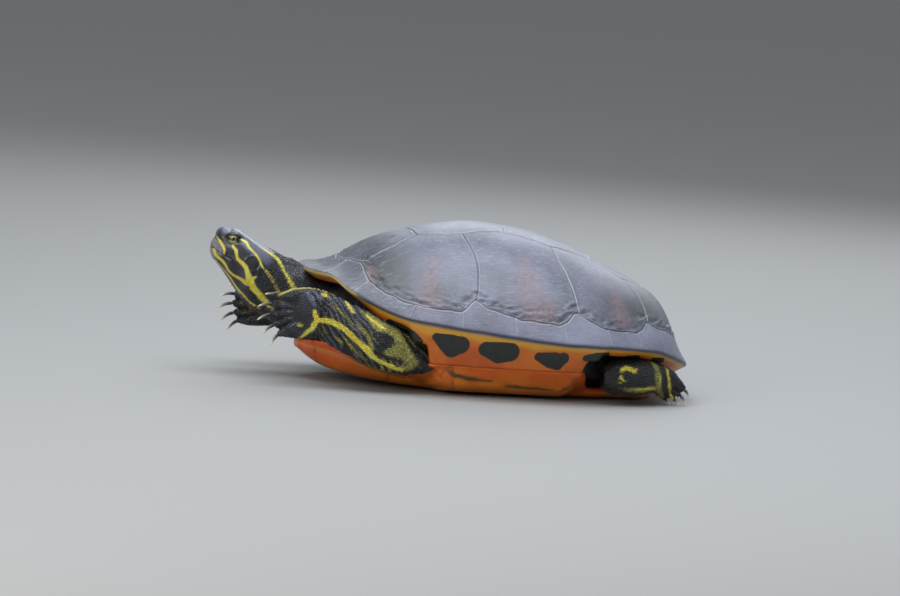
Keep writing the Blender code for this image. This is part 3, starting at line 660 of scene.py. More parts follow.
class Wire:
    """A number on its way between two nodes of a material, which takes part in sums."""

    def __init__(self, finish, socket):
        self.finish, self.socket = finish, socket

    def sum(self, operation, *values):
        return self.finish.node("Math", {"operation": operation}, dict(enumerate(values)))

    def __add__(self, other): return self.sum("ADD", self, other)
    def __radd__(self, other): return self.sum("ADD", other, self)
    def __sub__(self, other): return self.sum("SUBTRACT", self, other)
    def __rsub__(self, other): return self.sum("SUBTRACT", other, self)
    def __mul__(self, other): return self.sum("MULTIPLY", self, other)
    def __rmul__(self, other): return self.sum("MULTIPLY", other, self)
    def __pow__(self, other): return self.sum("POWER", self, other)

    def between(self, low, high):
        """0 below low, 1 above high, smooth in between."""
        return self.finish.node("MapRange", {"interpolation_type": "SMOOTHSTEP"},
                                {"Value": self, "From Min": low, "From Max": high})


class Finish:
    """A Principled material under construction.  The keywords are sockets that are the same all over."""

    def __init__(self, name, **even):
        self.material = bpy.data.materials.new(name)
        self.material.use_nodes = True
        self.tree = self.material.node_tree
        self.shader = self.tree.nodes["Principled BSDF"]
        for socket, value in even.items():
            self.set(self.shader.inputs[socket.replace("_", " ")], value)

    def set(self, socket, value):
        if isinstance(value, Wire):
            self.tree.links.new(value.socket, socket)
        elif isinstance(value, tuple) and len(value) == 3 and socket.type == "RGBA":
            socket.default_value = (*value, 1)
        else:
            socket.default_value = value

    def node(self, kind, settings=None, inputs=None, output=0):
        """A node with its settings made first, then its sockets; gives one of its outputs."""
        made = self.tree.nodes.new("ShaderNode" + kind)
        for key, value in (settings or {}).items():
            setattr(made, key, value)
        for key, value in (inputs or {}).items():
            self.set(made.inputs[key], value)
        return Wire(self, made.outputs[output])

    def place(self):
        return self.node("TexCoord", output="Object")

    def noise(self, size, detail=3.0, rough=0.55, stretch=None):
        """Noise from 0 to 1 whose blobs are about size millimetres across."""
        place = self.place()
        if stretch:
            place = self.node("Mapping", None, {"Vector": place, "Scale": stretch})
        return self.node("TexNoise", None, {"Vector": place, "Scale": 1 / (size * MM), "Detail": detail,
                                            "Roughness": rough})

    def cells(self, size):
        """Distance from the edges of cells that are about size millimetres across."""
        return self.node("TexVoronoi", {"feature": "DISTANCE_TO_EDGE"},
                         {"Vector": self.place(), "Scale": 1 / (size * MM)})

    def mix(self, share, first, second):
        """A colour between two colours."""
        made = self.tree.nodes.new("ShaderNodeMix")
        made.data_type = "RGBA"
        for key, value in ((0, share), (6, first), (7, second)):
            self.set(made.inputs[key], value)
        return Wire(self, made.outputs[2])

    def layers(self, colour, *over):
        """A colour with others laid over it in turn, each given as its share and itself."""
        for share, other in over:
            colour = self.mix(share, colour, other)
        return colour

    def painted(self, name):
        """The four numbers of a colour attribute."""
        layer = self.tree.nodes.new("ShaderNodeAttribute")
        layer.attribute_name = name
        parts = self.tree.nodes.new("ShaderNodeSeparateColor")
        self.tree.links.new(layer.outputs["Color"], parts.inputs[0])
        return [Wire(self, socket) for socket in (*parts.outputs, layer.outputs["Alpha"])]

    def surface(self, colour, roughness, height=None, depth=0.0):
        """Joins what changes over the surface to the shader; height is in shares of depth, in millimetres."""
        self.set(self.shader.inputs["Base Color"], colour)
        self.set(self.shader.inputs["Roughness"], roughness)
        if height is not None:
            bump = self.node("Bump", None, {"Strength": 1.0, "Distance": depth * MM, "Height": height})
            self.set(self.shader.inputs["Normal"], bump)
        return self.material


def flesh(name, grain, gloss=0.24):
    """Black scaly skin with the painted markings and a painted bluish sheen."""
    finish = Finish(name, IOR=1.5, Specular_IOR_Level=0.5, Coat_Weight=0.30, Coat_Roughness=0.10)
    yellow, olive, orange, grey = finish.painted("mark")
    mottle = finish.noise(1.6)
    olive_colour = finish.mix(mottle.between(0.35, 0.65), (0.150, 0.138, 0.022), (0.34, 0.315, 0.075))
    lemon = finish.layers((0.70, 0.55, 0.040), (finish.noise(14).between(0.4, 0.6), (0.74, 0.70, 0.085)),
                          (mottle.between(0.35, 0.75) * 0.35, (0.42, 0.30, 0.02)))
    # the bluish grey layer is painted sheen
    colour = finish.layers((0.0040, 0.0040, 0.0044), (grey.between(0.15, 1.0), (0.110, 0.114, 0.170)),
                           (mottle.between(0.56, 0.76) * 0.22, (0.040, 0.042, 0.045)), (olive, olive_colour),
                           (yellow, lemon), (orange * 0.8, (0.62, 0.21, 0.05)))
    roughness = gloss + mottle * 0.16
    edges = finish.cells(grain).between(0.0, 0.12)
    height = edges * 0.6 + finish.noise(grain * 0.35) * 0.4
    return finish.surface(colour, roughness, height, 0.12)


paint(skin_mesh, "mark", *markings(skin_points))
skin = placed("skin", skin_mesh, flesh("scaly_skin", 0.9))
flesh_nodes = ["head", "neck", "trunk", "tail"] + limbs
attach(skin, "root")
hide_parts(*flesh_nodes)

# ---------------------------------------------------------------- scales
# Neck, legs, feet and tail wear small horny scales that lap backwards or towards the toes; those on the feet are
# the smallest.  Each scale is a closed, slightly domed plate set into the skin, in the colour of its place, with a
# painted bluish sheen on its middle.
SCALES = {                   # spacing, length, width, rise, sides, tilt in degrees
    "neck": (1.35, 1.75, 1.52, 0.52, 6, 8.0),
    "foreleg": (1.22, 1.90, 1.55, 0.50, 7, 9.0),
    "forefoot": (1.05, 1.45, 1.25, 0.46, 6, 9.0),
    "hindleg": (1.25, 1.90, 1.60, 0.50, 7, 9.0),
    "hindfoot": (0.95, 1.35, 1.15, 0.42, 6, 9.0),
    "tail": (1.05, 1.60, 1.25, 0.32, 6, 9.0),
}
SCALE_SHEEN = {"neck": 1.9, "forefoot": 2.1}   # how strong the painted sheen on the middle of a scale is; 0.8 elsewhere
SCALE_DENSITY = 3.0e6        # tries a square metre, before the spacing thins them
HEAD_SMOOTH = 34.0           # scales start this far behind the beak
SCALE_SEED = 12
LIMB_REACH = 140.0           # millimetres along a limb that fill its cell of the unwrap
CELL_ROOM, CELL_MARGIN = 0.94, 0.03
LEAF_SPREAD = 0.003          # what one scale takes of the unwrap


def scale_shares(p):
    """For each group of scales, 1 at the points that carry them."""
    s = head_place(p)[0]
    x, side, way = p[:, 0], np.abs(p[:, 1]), p[:, 1] < 0
    neck = ease(HEAD_SMOOTH - 2, HEAD_SMOOTH + 9, s + noise(p, 6, 15) * 2) * (side < 31) * (x < -98)
    fore = (side >= 30) * (x < -60) * (x > -190)
    hand = x < -141
    hind = (x > 66) * (side >= 27) * (x < 145)
    tail = (x > 108) * ((side < 27) | (~way & (side < 42) & (p[:, 2] < 14) & (x > 124)))
    foot = x > 110
    shares = {"neck": neck, "tail": tail}
    kinds = {"foreleg": fore & ~hand, "forefoot": fore & hand, "hindleg": hind & ~foot & ~tail,
             "hindfoot": hind & foot & ~tail}
    for kind, on_kind in kinds.items():
        shares.update({kind + "_left": on_kind & way, kind + "_right": on_kind & ~way})
    return shares


def plate_form(name, length, width, rise, sides):
    """A closed plate with its free end towards +X, and the place of each point on it as an attribute."""
    turns = [2 * math.pi * k / sides for k in range(sides)]
    points = [(math.cos(t) * length / 2, math.sin(t) * width / 2, -0.10 * rise) for t in turns]
    points += [(math.cos(t) * length * 0.33, math.sin(t) * width * 0.33, 0.72 * rise) for t in turns]
    points += [(0, 0, rise), (0, 0, -0.75 * rise)]
    faces = []
    for k in range(sides):
        j = (k + 1) % sides
        faces += [(k, j, sides + j, sides + k), (sides + k, sides + j, 2 * sides), (j, k, 2 * sides + 1)]
    mesh = bpy.data.meshes.new(name)
    mesh.from_pydata([tuple(c * MM for c in point) for point in points], [], faces)
    mesh.shade_smooth()
    leaf = mesh.attributes.new("leaf", "FLOAT_VECTOR", "POINT")
    leaf.data.foreach_set("vector", np.array([(x / length, y / width, 0) for x, y, _ in points]).ravel())
    return placed(name, mesh)


def corner_points(mesh):
    """The point at each corner of the faces."""
    numbers = np.empty(len(mesh.loops), np.int64)
    mesh.loops.foreach_get("vertex_index", numbers)
    return numbers


def coat_tree():
    """Geometry nodes that spread plates over the faces whose share is 1, each turned along the lie of the coat."""
    tree = bpy.data.node_groups.new("scale_coat", "GeometryNodeTree")
    sockets = (("Skin", "Geometry"), ("Plate", "Object"), ("Share", "String"), ("Spacing", "Float"),
               ("Tilt", "Float"), ("Seed", "Int"), ("Finish", "Material"))
    for label, kind in sockets:
        tree.interface.new_socket(label, in_out="INPUT", socket_type="NodeSocket" + kind)
    tree.interface.new_socket("Coat", in_out="OUTPUT", socket_type="NodeSocketGeometry")

    def node(kind, settings=None, inputs=None):
        made = tree.nodes.new(kind)
        for key, value in (settings or {}).items():
            setattr(made, key, value)
        for key, value in (inputs or {}).items():
            if isinstance(value, bpy.types.NodeSocket):
                tree.links.new(value, made.inputs[key])
            else:
                made.inputs[key].default_value = value
        return made.outputs

    given = node("NodeGroupInput")
    share = node("GeometryNodeInputNamedAttribute", {"data_type": "FLOAT"}, {"Name": given["Share"]})["Attribute"]
    lie = node("GeometryNodeInputNamedAttribute", {"data_type": "FLOAT_VECTOR"}, {"Name": "lie"})["Attribute"]
    spread = node("GeometryNodeDistributePointsOnFaces", {"distribute_method": "POISSON"},
                  {"Mesh": given["Skin"], "Distance Min": given["Spacing"], "Density Max": SCALE_DENSITY,
                   "Density Factor": share, "Seed": given["Seed"]})
    rooted = node("GeometryNodeStoreNamedAttribute", {"data_type": "FLOAT_VECTOR"},
                  {"Geometry": spread["Points"], "Name": "root", "Value": node("GeometryNodeInputPosition")[0]})
    upright = node("FunctionNodeAlignRotationToVector", {"axis": "Z"}, {"Vector": spread["Normal"]})
    combed = node("FunctionNodeAlignRotationToVector", {"axis": "X", "pivot_axis": "Z"},
                  {"Rotation": upright["Rotation"], "Vector": lie})
    lean = node("FunctionNodeAxisAngleToRotation", None, {"Axis": (0, 1, 0), "Angle": given["Tilt"]})
    turned = node("FunctionNodeRotateRotation", {"rotation_space": "LOCAL"},
                  {"Rotation": combed["Rotation"], "Rotate By": lean["Rotation"]})
    # a random value node has one output a data type: the second is the number
    size = node("FunctionNodeRandomValue", {"data_type": "FLOAT"}, {"Min": 0.84, "Max": 1.16, "Seed": given["Seed"]})
    full = node("ShaderNodeMath", {"operation": "MULTIPLY_ADD"}, {0: share, 1: 0.6, 2: 0.4})
    full = node("ShaderNodeMath", {"operation": "MULTIPLY"}, {0: full[0], 1: size[1]})
    plate = node("GeometryNodeObjectInfo", None, {"Object": given["Plate"]})
    coat = node("GeometryNodeInstanceOnPoints", None,
                {"Points": rooted["Geometry"], "Instance": plate["Geometry"], "Rotation": turned["Rotation"],
                 "Scale": full[0]})
    real = node("GeometryNodeRealizeInstances", None, {"Geometry": coat["Instances"]})
    dressed = node("GeometryNodeSetMaterial", None, {"Geometry": real["Geometry"], "Material": given["Finish"]})
    node("NodeGroupOutput", None, {"Coat": dressed["Geometry"]})
    return tree


shares = scale_shares(skin_points)
limb_number = limb_of(skin_points)
lie = np.zeros((len(skin_points), 3))
for i, line in enumerate(MIDDLE_LINES.values()):
    lie[limb_number == i] = unwrap(skin_points[limb_number == i], line)[2]
host_mesh = skin_mesh.copy()
layer = host_mesh.attributes.new("lie", "FLOAT_VECTOR", "POINT")
layer.data.foreach_set("vector", lie.ravel())
for name, share in shares.items():
    layer = host_mesh.attributes.new("on_" + name, "FLOAT", "POINT")
    layer.data.foreach_set("value", share.astype(np.float32))
scale_finish = flesh("horny_scales", 0.7, 0.22)
tree = coat_tree()
socket_of = {item.name: item.identifier for item in tree.interface.items_tree if item.in_out == "INPUT"}
groups = [name for kind in SCALES for name in (kind, kind + "_left", kind + "_right") if name in shares]
for number, name in enumerate(groups):
    kind = name.split("_")[0]
    spacing, length, width, rise, sides, tilt = SCALES[kind]
    plate = plate_form("plate_" + name, length, width, rise, sides)
    host = placed("host_" + name, host_mesh)
    spreader = host.modifiers.new("coat", "NODES")
    spreader.node_group = tree
    for label, value in (("Plate", plate), ("Share", "on_" + name), ("Spacing", spacing * MM),
                         ("Tilt", -math.radians(tilt)), ("Seed", SCALE_SEED + number), ("Finish", scale_finish)):
        spreader[socket_of[label]] = value
    coat_mesh = evaluated_mesh(host)
    bpy.data.objects.remove(plate)
    root = read_vectors(coat_mesh.attributes["root"].data, "vector") / MM
    leaf = read_vectors(coat_mesh.attributes["leaf"].data, "vector")
    # the middle of a scale gets a painted bluish sheen, its edge does not
    *marks, grey = markings(root, 0.12)
    bead_sheen = ease(1.0, 0.45, 2 * np.hypot(leaf[:, 0] - 0.15, leaf[:, 1]))
    paint(coat_mesh, "mark", *marks, np.clip((0.25 + grey) * SCALE_SHEEN.get(kind, 0.8), 0, 1) * bead_sheen)
    limb_name = name.replace("forefoot", "foreleg").replace("hindfoot", "hindleg")
    cell = list(MIDDLE_LINES).index(limb_name)
    around, along, _ = unwrap(root, MIDDLE_LINES[limb_name])
    u = (cell % 3 + CELL_MARGIN + CELL_ROOM * around) / 3 + leaf[:, 0] * LEAF_SPREAD
    v = (cell // 3 + CELL_MARGIN + CELL_ROOM * along / LIMB_REACH) / 2 + leaf[:, 1] * LEAF_SPREAD
    bake = coat_mesh.uv_layers.new(name="OFBake")
    bake.data.foreach_set("uv", np.stack([u, v], axis=1)[corner_points(coat_mesh)].ravel())
    for spare in ("root", "leaf"):
        coat_mesh.attributes.remove(coat_mesh.attributes[spare])
    coat_mesh.name = "scales_" + name
    coat = placed("scales_" + name, coat_mesh)
    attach(coat, "root")
bpy.data.meshes.remove(host_mesh)

# ---------------------------------------------------------------- beak
# A turtle has no teeth: each jaw is edged with a sheath of grey horn, finely ridged from top to edge, that the
# yellow stripes of the face run over.  The two halves close on a line that turns down at the corner.
BEAK_STEP = 0.40
BEAK_PROUD = 0.32            # the sheaths stand this far out of the face
UPPER_EDGE, LOWER_EDGE, EDGE_RISE = -1.22, -1.55, 0.0588   # the cutting edges in the head's own (s, n)
HORN_RIDGE = 0.95            # from ridge to ridge


def beak_form(p, normals, upper):
    """Ridges the sheath, draws its edge to a blade and cuts the small notch at the tip."""
    s, n, side = head_place(p)
    edge = (UPPER_EDGE if upper else LOWER_EDGE) + EDGE_RISE * (s + 4)
    from_edge = (n - edge) if upper else (edge - n)
    ridge = np.sin((s * 0.9 + np.abs(side) * 0.5) * 2 * math.pi / HORN_RIDGE) * 0.05
    blade = -0.22 * np.exp(-np.clip(from_edge, 0, 9) / 0.5)
    thin = -0.30 * ease(9.5, 13.0, s)
    p = p + normals * (ridge * ease(0.2, 1.2, from_edge) + blade + thin)[:, None]
    s, n, side = head_place(p)
    past = np.maximum((edge - n) if upper else (n - edge), 0) * (1 if upper else -1)
    p = p + HEAD_UP * past[:, None]
    if upper:
        notch = hump(side, 0.8) * ease(1.6, 0.2, from_edge) * ease(4, 1, s)
        p = p + HEAD_UP * (0.7 * notch)[:, None]
    return p


horn_finish = Finish("beak_sheath", IOR=1.5, Specular_IOR_Level=0.5)
yellow, _, _, grey = horn_finish.painted("mark")
streak = horn_finish.noise(0.55, 3, 0.6, (1.0, 1.0, 0.25))
cloud = horn_finish.noise(3.0)
tone = horn_finish.layers((0.080, 0.075, 0.080), (streak.between(0.35, 0.7), (0.34, 0.32, 0.33)),
                          (cloud.between(0.5, 0.75) * 0.5, (0.40, 0.34, 0.20)))
tone = horn_finish.mix(grey, (0.0060, 0.0060, 0.0062), tone)
tone = horn_finish.mix(yellow, tone, horn_finish.mix(cloud, (0.66, 0.48, 0.04), (0.74, 0.66, 0.09)))
beak_sheath = horn_finish.surface(tone, 0.30 + streak * 0.15, streak, 0.10)
for name in ("upper_beak", "lower_beak"):
    sheath_mesh = fused(joined([cad_copy(name, grow=BEAK_PROUD)]), BEAK_STEP)
    relax(sheath_mesh, 8)
    p, normals = read_points(sheath_mesh), read_normals(sheath_mesh)
    write_points(sheath_mesh, beak_form(p, normals, name == "upper_beak"))
    p = read_points(sheath_mesh)
    *marks, _ = markings(p, 0.25)
    paint(sheath_mesh, "mark", *marks, ease(12.5, 8.5, head_place(p)[0] + noise(p, 2.5, 45)))
    sheath = placed(name + "_sheath", sheath_mesh, beak_sheath)
    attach(sheath, "root")
    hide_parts(name)

# ---------------------------------------------------------------- eyes
# Each eye is a ball with a slightly bulging clear front, so wet that it mirrors the light.  The iris is pale
# yellow-green, crossed at the height of the round pupil by a dark bar that stays level.
EYE_RINGS, EYE_SECTORS = 44, 72
CORNEA_BULGE = 0.30
GAZE = (-0.16, 1.0, 0.02)    # forward, out to the side, up
EYE_MAP = 14.0               # the map on the eye is this many millimetres across
PUPIL, PUPIL_RING, IRIS = 1.30, 1.80, 3.95   # radii


def closed_mesh(name, points, faces):
    """A mesh of points in metres whose faces all point outwards."""
    mesh = bpy.data.meshes.new(name)
    mesh.from_pydata(points, [], faces)
    work = bmesh.new()
    work.from_mesh(mesh)
    bmesh.ops.recalc_face_normals(work, faces=work.faces)
    work.to_mesh(mesh)
    work.free()
    return mesh


eye_finish = Finish("wet_eye", IOR=1.38, Specular_IOR_Level=0.6, Coat_Weight=1.0, Coat_Roughness=0.02)
spot = eye_finish.node("UVMap", {"uv_map": "gaze"})
parts = eye_finish.tree.nodes.new("ShaderNodeSeparateXYZ")
eye_finish.tree.links.new(spot.socket, parts.inputs[0])
across = (Wire(eye_finish, parts.outputs[0]) - 0.5) * EYE_MAP
up = (Wire(eye_finish, parts.outputs[1]) - 0.5) * EYE_MAP
radius = (across * across + up * up) ** 0.5
angle = eye_finish.node("Math", {"operation": "ARCTAN2"}, {0: up, 1: across})
ray = eye_finish.node("CombineXYZ", None, {0: angle * 3.0, 1: radius * 0.35, 2: 0.0})
ray = eye_finish.node("TexNoise", None, {"Vector": ray, "Scale": 3.2, "Detail": 3.0})
flat_up = up * (1.0 - radius * 0.02)
bar = 1.0 - (flat_up * flat_up).between(1.0, 1.9)
pupil_ring = radius.between(PUPIL + 0.10, PUPIL + 0.20) * (1.0 - radius.between(PUPIL_RING - 0.18, PUPIL_RING))
iris = eye_finish.layers((0.20, 0.24, 0.020), (ray.between(0.35, 0.65), (0.60, 0.66, 0.13)),
                         (radius.between(2.6, IRIS - 0.05), (0.13, 0.14, 0.018)), (bar * 0.96, (0.010, 0.009, 0.005)),
                         (1.0 - radius.between(PUPIL, PUPIL + 0.15), (0.002, 0.002, 0.002)),
                         (pupil_ring * 0.5, (0.85, 0.78, 0.22)),
                         (radius.between(IRIS, IRIS + 0.20), (0.012, 0.011, 0.008)))
wet_eye = eye_finish.surface(iris, 0.07)
for side, centre in eyes.items():
    way = math.copysign(1, centre[1])
    out = np.array([GAZE[0], GAZE[1] * way, GAZE[2]])
    out /= np.linalg.norm(out)
    level = np.cross((0, 0, 1.0), out)
    level /= np.linalg.norm(level)
    rise = np.cross(out, level)
    turns = np.linspace(0, 2 * math.pi, EYE_SECTORS, endpoint=False)
    polar = math.pi * (np.arange(1, EYE_RINGS) / EYE_RINGS)**1.35
    points, place = [centre + out * (EYE_RADIUS + CORNEA_BULGE)], [(0.0, 0.0)]
    for a in polar:
        reach = EYE_RADIUS + CORNEA_BULGE * math.exp(-(a / 0.45)**2)
        for t in turns:
            sideways = level * math.cos(t) + rise * math.sin(t)
            points.append(centre + reach * (out * math.cos(a) + math.sin(a) * sideways))
            place.append((a * EYE_RADIUS * math.cos(t), a * EYE_RADIUS * math.sin(t)))
    points.append(centre - out * EYE_RADIUS)
    place.append((0.0, 0.0))
    faces = []
    for ring in range(EYE_RINGS - 2):
        for k in range(EYE_SECTORS):
            j = (k + 1) % EYE_SECTORS
            a, b = 1 + ring * EYE_SECTORS, 1 + (ring + 1) * EYE_SECTORS
            faces.append((a + k, b + k, b + j, a + j))
    last = 1 + (EYE_RINGS - 2) * EYE_SECTORS
    for k in range(EYE_SECTORS):
        j = (k + 1) % EYE_SECTORS
        faces += [(0, 1 + k, 1 + j), (last + j, last + k, len(points) - 1)]
    eye_mesh = closed_mesh("eye_ball_" + side, [Vector(p) * MM for p in points], faces)
    gaze_map = eye_mesh.uv_layers.new(name="gaze")
    gaze_map.data.foreach_set("uv", (np.array(place)[corner_points(eye_mesh)] / EYE_MAP + 0.5).ravel())
    ball = placed("eye_ball_" + side, eye_mesh, wet_eye)
    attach(ball, "root")
    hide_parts("eye_" + side)

# ---------------------------------------------------------------- claws
# Five claws on each forefoot and four on each hind foot, long and slender on the front: horn with a dark quick at
# the root that shows through and clears to a pale tip.  Each is drawn out of the solid it stands for.
CLAW_RINGS, CLAW_SIDES = 14, 14
CLAW_ROOT = 1.45
FORE_BLUNT, HIND_BLUNT = 0.36, 0.14   # thickness of the tip in shares of the root's

claw_points, claw_faces, claw_along = [], [], []
for name in CLAW_NODES:
    root, bend, tip = claw_ends(name)
    control = 2 * bend - (root + tip) / 2 + np.array([0, 0, 0.5])
    start = len(claw_points)
    for i in range(CLAW_RINGS):
        u = i / (CLAW_RINGS - 1)
        centre = (1 - u)**2 * root + 2 * u * (1 - u) * control + u**2 * tip
        along = 2 * (1 - u) * (control - root) + 2 * u * (tip - control)
        along /= np.linalg.norm(along)
        sideways = np.cross(along, (0, 0, 1.0))
        sideways /= np.linalg.norm(sideways)
        lift = np.cross(sideways, along)
        blunt = FORE_BLUNT if "fore" in name else HIND_BLUNT
        thick = CLAW_ROOT * (blunt + (1 - blunt) * (1 - u)**0.72) * (0.86 + 0.14 * ease(0.0, 0.12, u))
        thick *= 1 - 0.45 * ease(0.88, 1.0, u)
        for k in range(CLAW_SIDES):
            a = 2 * math.pi * k / CLAW_SIDES
            high = math.sin(a) * (1.0 if math.sin(a) > 0 else 0.85)
            claw_points.append(centre + sideways * thick * 0.80 * math.cos(a) + lift * thick * high)
            claw_along.append(u)
    for i in range(CLAW_RINGS - 1):
        for k in range(CLAW_SIDES):
            j = (k + 1) % CLAW_SIDES
            a, b = start + i * CLAW_SIDES, start + (i + 1) * CLAW_SIDES
            claw_faces.append((a + k, a + j, b + j, b + k))
    claw_points += [root - (control - root) * 0.12, tip + (tip - control) * 0.03]
    claw_along += [0.0, 1.0]
    last = start + (CLAW_RINGS - 1) * CLAW_SIDES
    for k in range(CLAW_SIDES):
        j = (k + 1) % CLAW_SIDES
        claw_faces += [(start + j, start + k, len(claw_points) - 2), (last + k, last + j, len(claw_points) - 1)]
claw_mesh = closed_mesh("claws", [Vector(p) * MM for p in claw_points], claw_faces)
paint(claw_mesh, "along", *[np.array(claw_along)] * 4)
claw_finish = Finish("claw_sheath", IOR=1.5, Specular_IOR_Level=0.5)
way_along = claw_finish.painted("along")[0]
fibre = claw_finish.noise(0.5, 3, 0.6, (0.3, 1.0, 1.0))
tone = claw_finish.mix(way_along.between(0.15, 0.80) * 0.9 + fibre * 0.1, (0.014, 0.010, 0.013), (0.22, 0.20, 0.15))
tone = claw_finish.mix(way_along.between(0.62, 0.95), tone, (0.66, 0.60, 0.36))
claws = placed("claws", claw_mesh, claw_finish.surface(tone, 0.28 + fibre * 0.12, fibre, 0.06))
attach(claws, "root")
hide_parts(*CLAW_NODES)

# ---------------------------------------------------------------- carapace
# The domed upper shell is one bony shield under plates of horn: a row of five along the back, four broad ones
# on each side and twenty-five along the rim.  The outside is near-black horn, painted a lighter blue-grey that is
# partly its own tone and partly a painted sky sheen; under the rim the plates turn orange with dark ovals.  It is
# meshed closest where plates meet.
SHELL_LENGTH, SHELL_WIDTH, WIDEST_X = 280.0, 204.0, 25.0
FRONT_FULLNESS, REAR_FULLNESS = 2.35, 2.1   # exponents of the outline seen from above
RIM_THICKNESS = 2.8
WALL = 4.5
MARGIN_LIP = 2.6             # how far the inner edge of the rim hangs over the leg openings
INNER_SCALE = 0.94
DOME_CENTRE_X = -10.0
MARGIN_DEPTH = 12.0          # from the rim in to the seam between the shells
BRIDGE_TOP = 22.5            # height of that seam
BRIDGE_FRONT, BRIDGE_REAR = -64.0, 53.0
BRIDGE_FRONT_SLANT, BRIDGE_REAR_SLANT = 22.0, 17.0
# height of the middle of the back and of the rim's underside along X
MIDLINE = [(-140, 78.9), (-128, 80.6), (-119, 83.8), (-111, 87.2), (-104, 91.6), (-86, 101.6), (-67, 108),
           (-43, 113.3), (-18, 115.9), (16, 112.7), (47, 104.2), (79, 90.4), (100, 80.4), (113, 71.8),
           (119, 64), (124, 52.5), (131, 37.5), (140, 25.3)]
RIM = [(-140, 76.1), (-129, 76), (-115, 67), (-91, 56.5), (-76, 52.2), (-39, 48), (33, 41.6), (64, 40.5),
       (97, 38.3), (123, 31), (140, 22.5)]
RIM_POINTS = 600
RIM_ROUND = 0.8
RIM_REACH = 0.955            # the dome's formula is cut off here, where it meets the rim
# relief, and what the material counts in
GROOVE_WIDTH, GROOVE_DEPTH, RIM_GROOVE_DEPTH = 0.45, 0.50, 0.25
LIP_PLACE, LIP_HEIGHT, RIM_LIP_HEIGHT = 1.25, 0.24, 0.10
SPREAD = 20.0                # the distance from the seams is painted up to here
UNDER_RINGS = (2, 20)        # rings of points that are the underside of the rim's plates
HOLLOW_RING = 18
# how far up the shell the rim's plates reach, by the place on the rim: higher where two side plates meet
MARGINAL_WIDTHS = [(-140, 27), (-137, 29.5), (-128, 27.8), (-119.4, 21.2), (-110.5, 14.9), (-103.3, 12),
                   (-94.6, 10.9), (-85.6, 9.9), (-67.9, 9.6), (-57.2, 9.9), (-46.7, 10.9), (-42.4, 11.4),
                   (-39.2, 14.3), (-36.7, 18.4), (-33.3, 22.3), (-28.5, 20.6), (-23.8, 17.6), (-13.9, 15.7),
                   (-4.9, 14.2), (2.5, 13), (31.2, 12.8), (38.5, 16.7), (46, 23.6), (49.5, 24.7), (56.9, 19.1),
                   (65, 13.5), (70.1, 12.2), (92.3, 12.3), (100, 16), (106.4, 22.2), (111.9, 19), (122.4, 18.2),
                   (140, 17)]
# seams in plan, one side: (x, distance from the middle)
BACK_SEAMS = [[(-64.5, 0), (-64.3, 8), (-63.6, 23)], [(-2, 0), (0, 14), (-3, 28)], [(60, 0), (62, 14), (60, 27)],
              [(103, 0), (101, 21)]]
SIDE_SEAM = [(-108, 35), (-99.4, 39), (-90.8, 36.7), (-80, 34.4), (-72.3, 29.6), (-63.6, 23.1), (-48, 31.1),
             (-33.2, 35.4), (-3, 28), (30.5, 36), (60, 27), (84, 33), (101, 21), (126, 36)]
COSTAL_SEAMS = [[(-33.2, 35.4), (-30.8, 47.6), (-28.7, 57.3), (-27.8, 66.1), (-27.8, 75), (-28.7, 83.3), (-31, 92)],
                [(30.5, 36), (32.3, 53.5), (36.4, 64.4), (38.8, 72.8), (41.3, 81.9), (43.5, 92)],
                [(84, 33), (92, 46), (96, 58), (98, 72)]]
# seams between the rim's plates: x at the rim, and x at their upper end
MARGINAL_SEAMS = [(-139.8, -114.5), (-131, -110), (-112.1, -100.6), (-77.1, -72.9), (-40.3, -40.8), (-2.3, -3.8),
                  (33.3, 31.1), (67.5, 63.5), (91, 87), (111, 105), (126, 117), (136, 124)]
# faint reddish bars on the side plates: X, distance from the middle, Z and width
BARS = [[(-57.4, 61.6, 92, 9), (-62.2, 73.1, 80.3, 13), (-60.4, 83.8, 67.5, 17)],
        [(6.2, 60, 97.5, 5), (6.6, 68, 92, 10), (7.5, 76.3, 84.4, 15), (9, 87.2, 71.6, 20),
         (14, 91, 65, 26)],
        [(66, 44, 86, 6), (72, 60, 76, 10), (74, 76, 60, 16)], [(-104, 44, 88, 5), (-98, 60, 76, 9)]]
# painted shade: darker, rougher patches on slopes that face away from the light: X and Z of the middle, how long
# and high, how dark
SHADED_PATCHES = [(-90, 82, 26, 20, 1.0), (92, 68, 30, 14, 0.9), (-62, 72, 18, 10, 0.55), (20, 66, 26, 7, 0.35)]
# the dark marks under the rim: X, Z and height of the mark there
UNDER_MARKS = [[(-56.5, 42.5, 6), (-50, 39.5, 13), (-44.5, 37, 17), (-39.5, 38, 13)],
               [(-21.5, 36.4, 11), (-12, 34.4, 16), (-5, 35.2, 14)],
               [(15.5, 33.2, 6.5), (24, 31.2, 12), (29.5, 30.6, 13.5), (33, 32.6, 9)],
               [(49.5, 33.9, 5), (57, 34.6, 7.4), (65, 36.2, 4.6)], [(81, 33.8, 4.6), (89, 33.6, 6)],
               [(103, 32.2, 4.6), (110, 31.6, 5)],
               [(-88, 50, 4), (-80, 46.5, 6), (-72, 42, 6), (-66.5, 38, 4)],
               [(-118, 64, 4), (-111, 60, 6)]]


def curve(keys, x):
    """Smooth curve without overshoot through (x, value) keys, read at x."""
    key_x, key_y = np.array(keys, float).T
    step = np.diff(key_x)
    slope = np.diff(key_y) / step
    tangent = np.concatenate([slope[:1], np.zeros(len(slope) - 1), slope[-1:]])
    for i in range(1, len(slope)):
        if slope[i - 1] * slope[i] > 0:
            tangent[i] = 2 * slope[i - 1] * slope[i] / (slope[i - 1] + slope[i])
    i = np.clip(np.searchsorted(key_x, x) - 1, 0, len(step) - 1)
    t = np.clip((x - key_x[i]) / step[i], 0, 1)
    return ((2 * t**3 - 3 * t**2 + 1) * key_y[i] + (t**3 - 2 * t**2 + t) * step[i] * tangent[i]
            + (3 * t**2 - 2 * t**3) * key_y[i + 1] + (t**3 - t**2) * step[i] * tangent[i + 1])


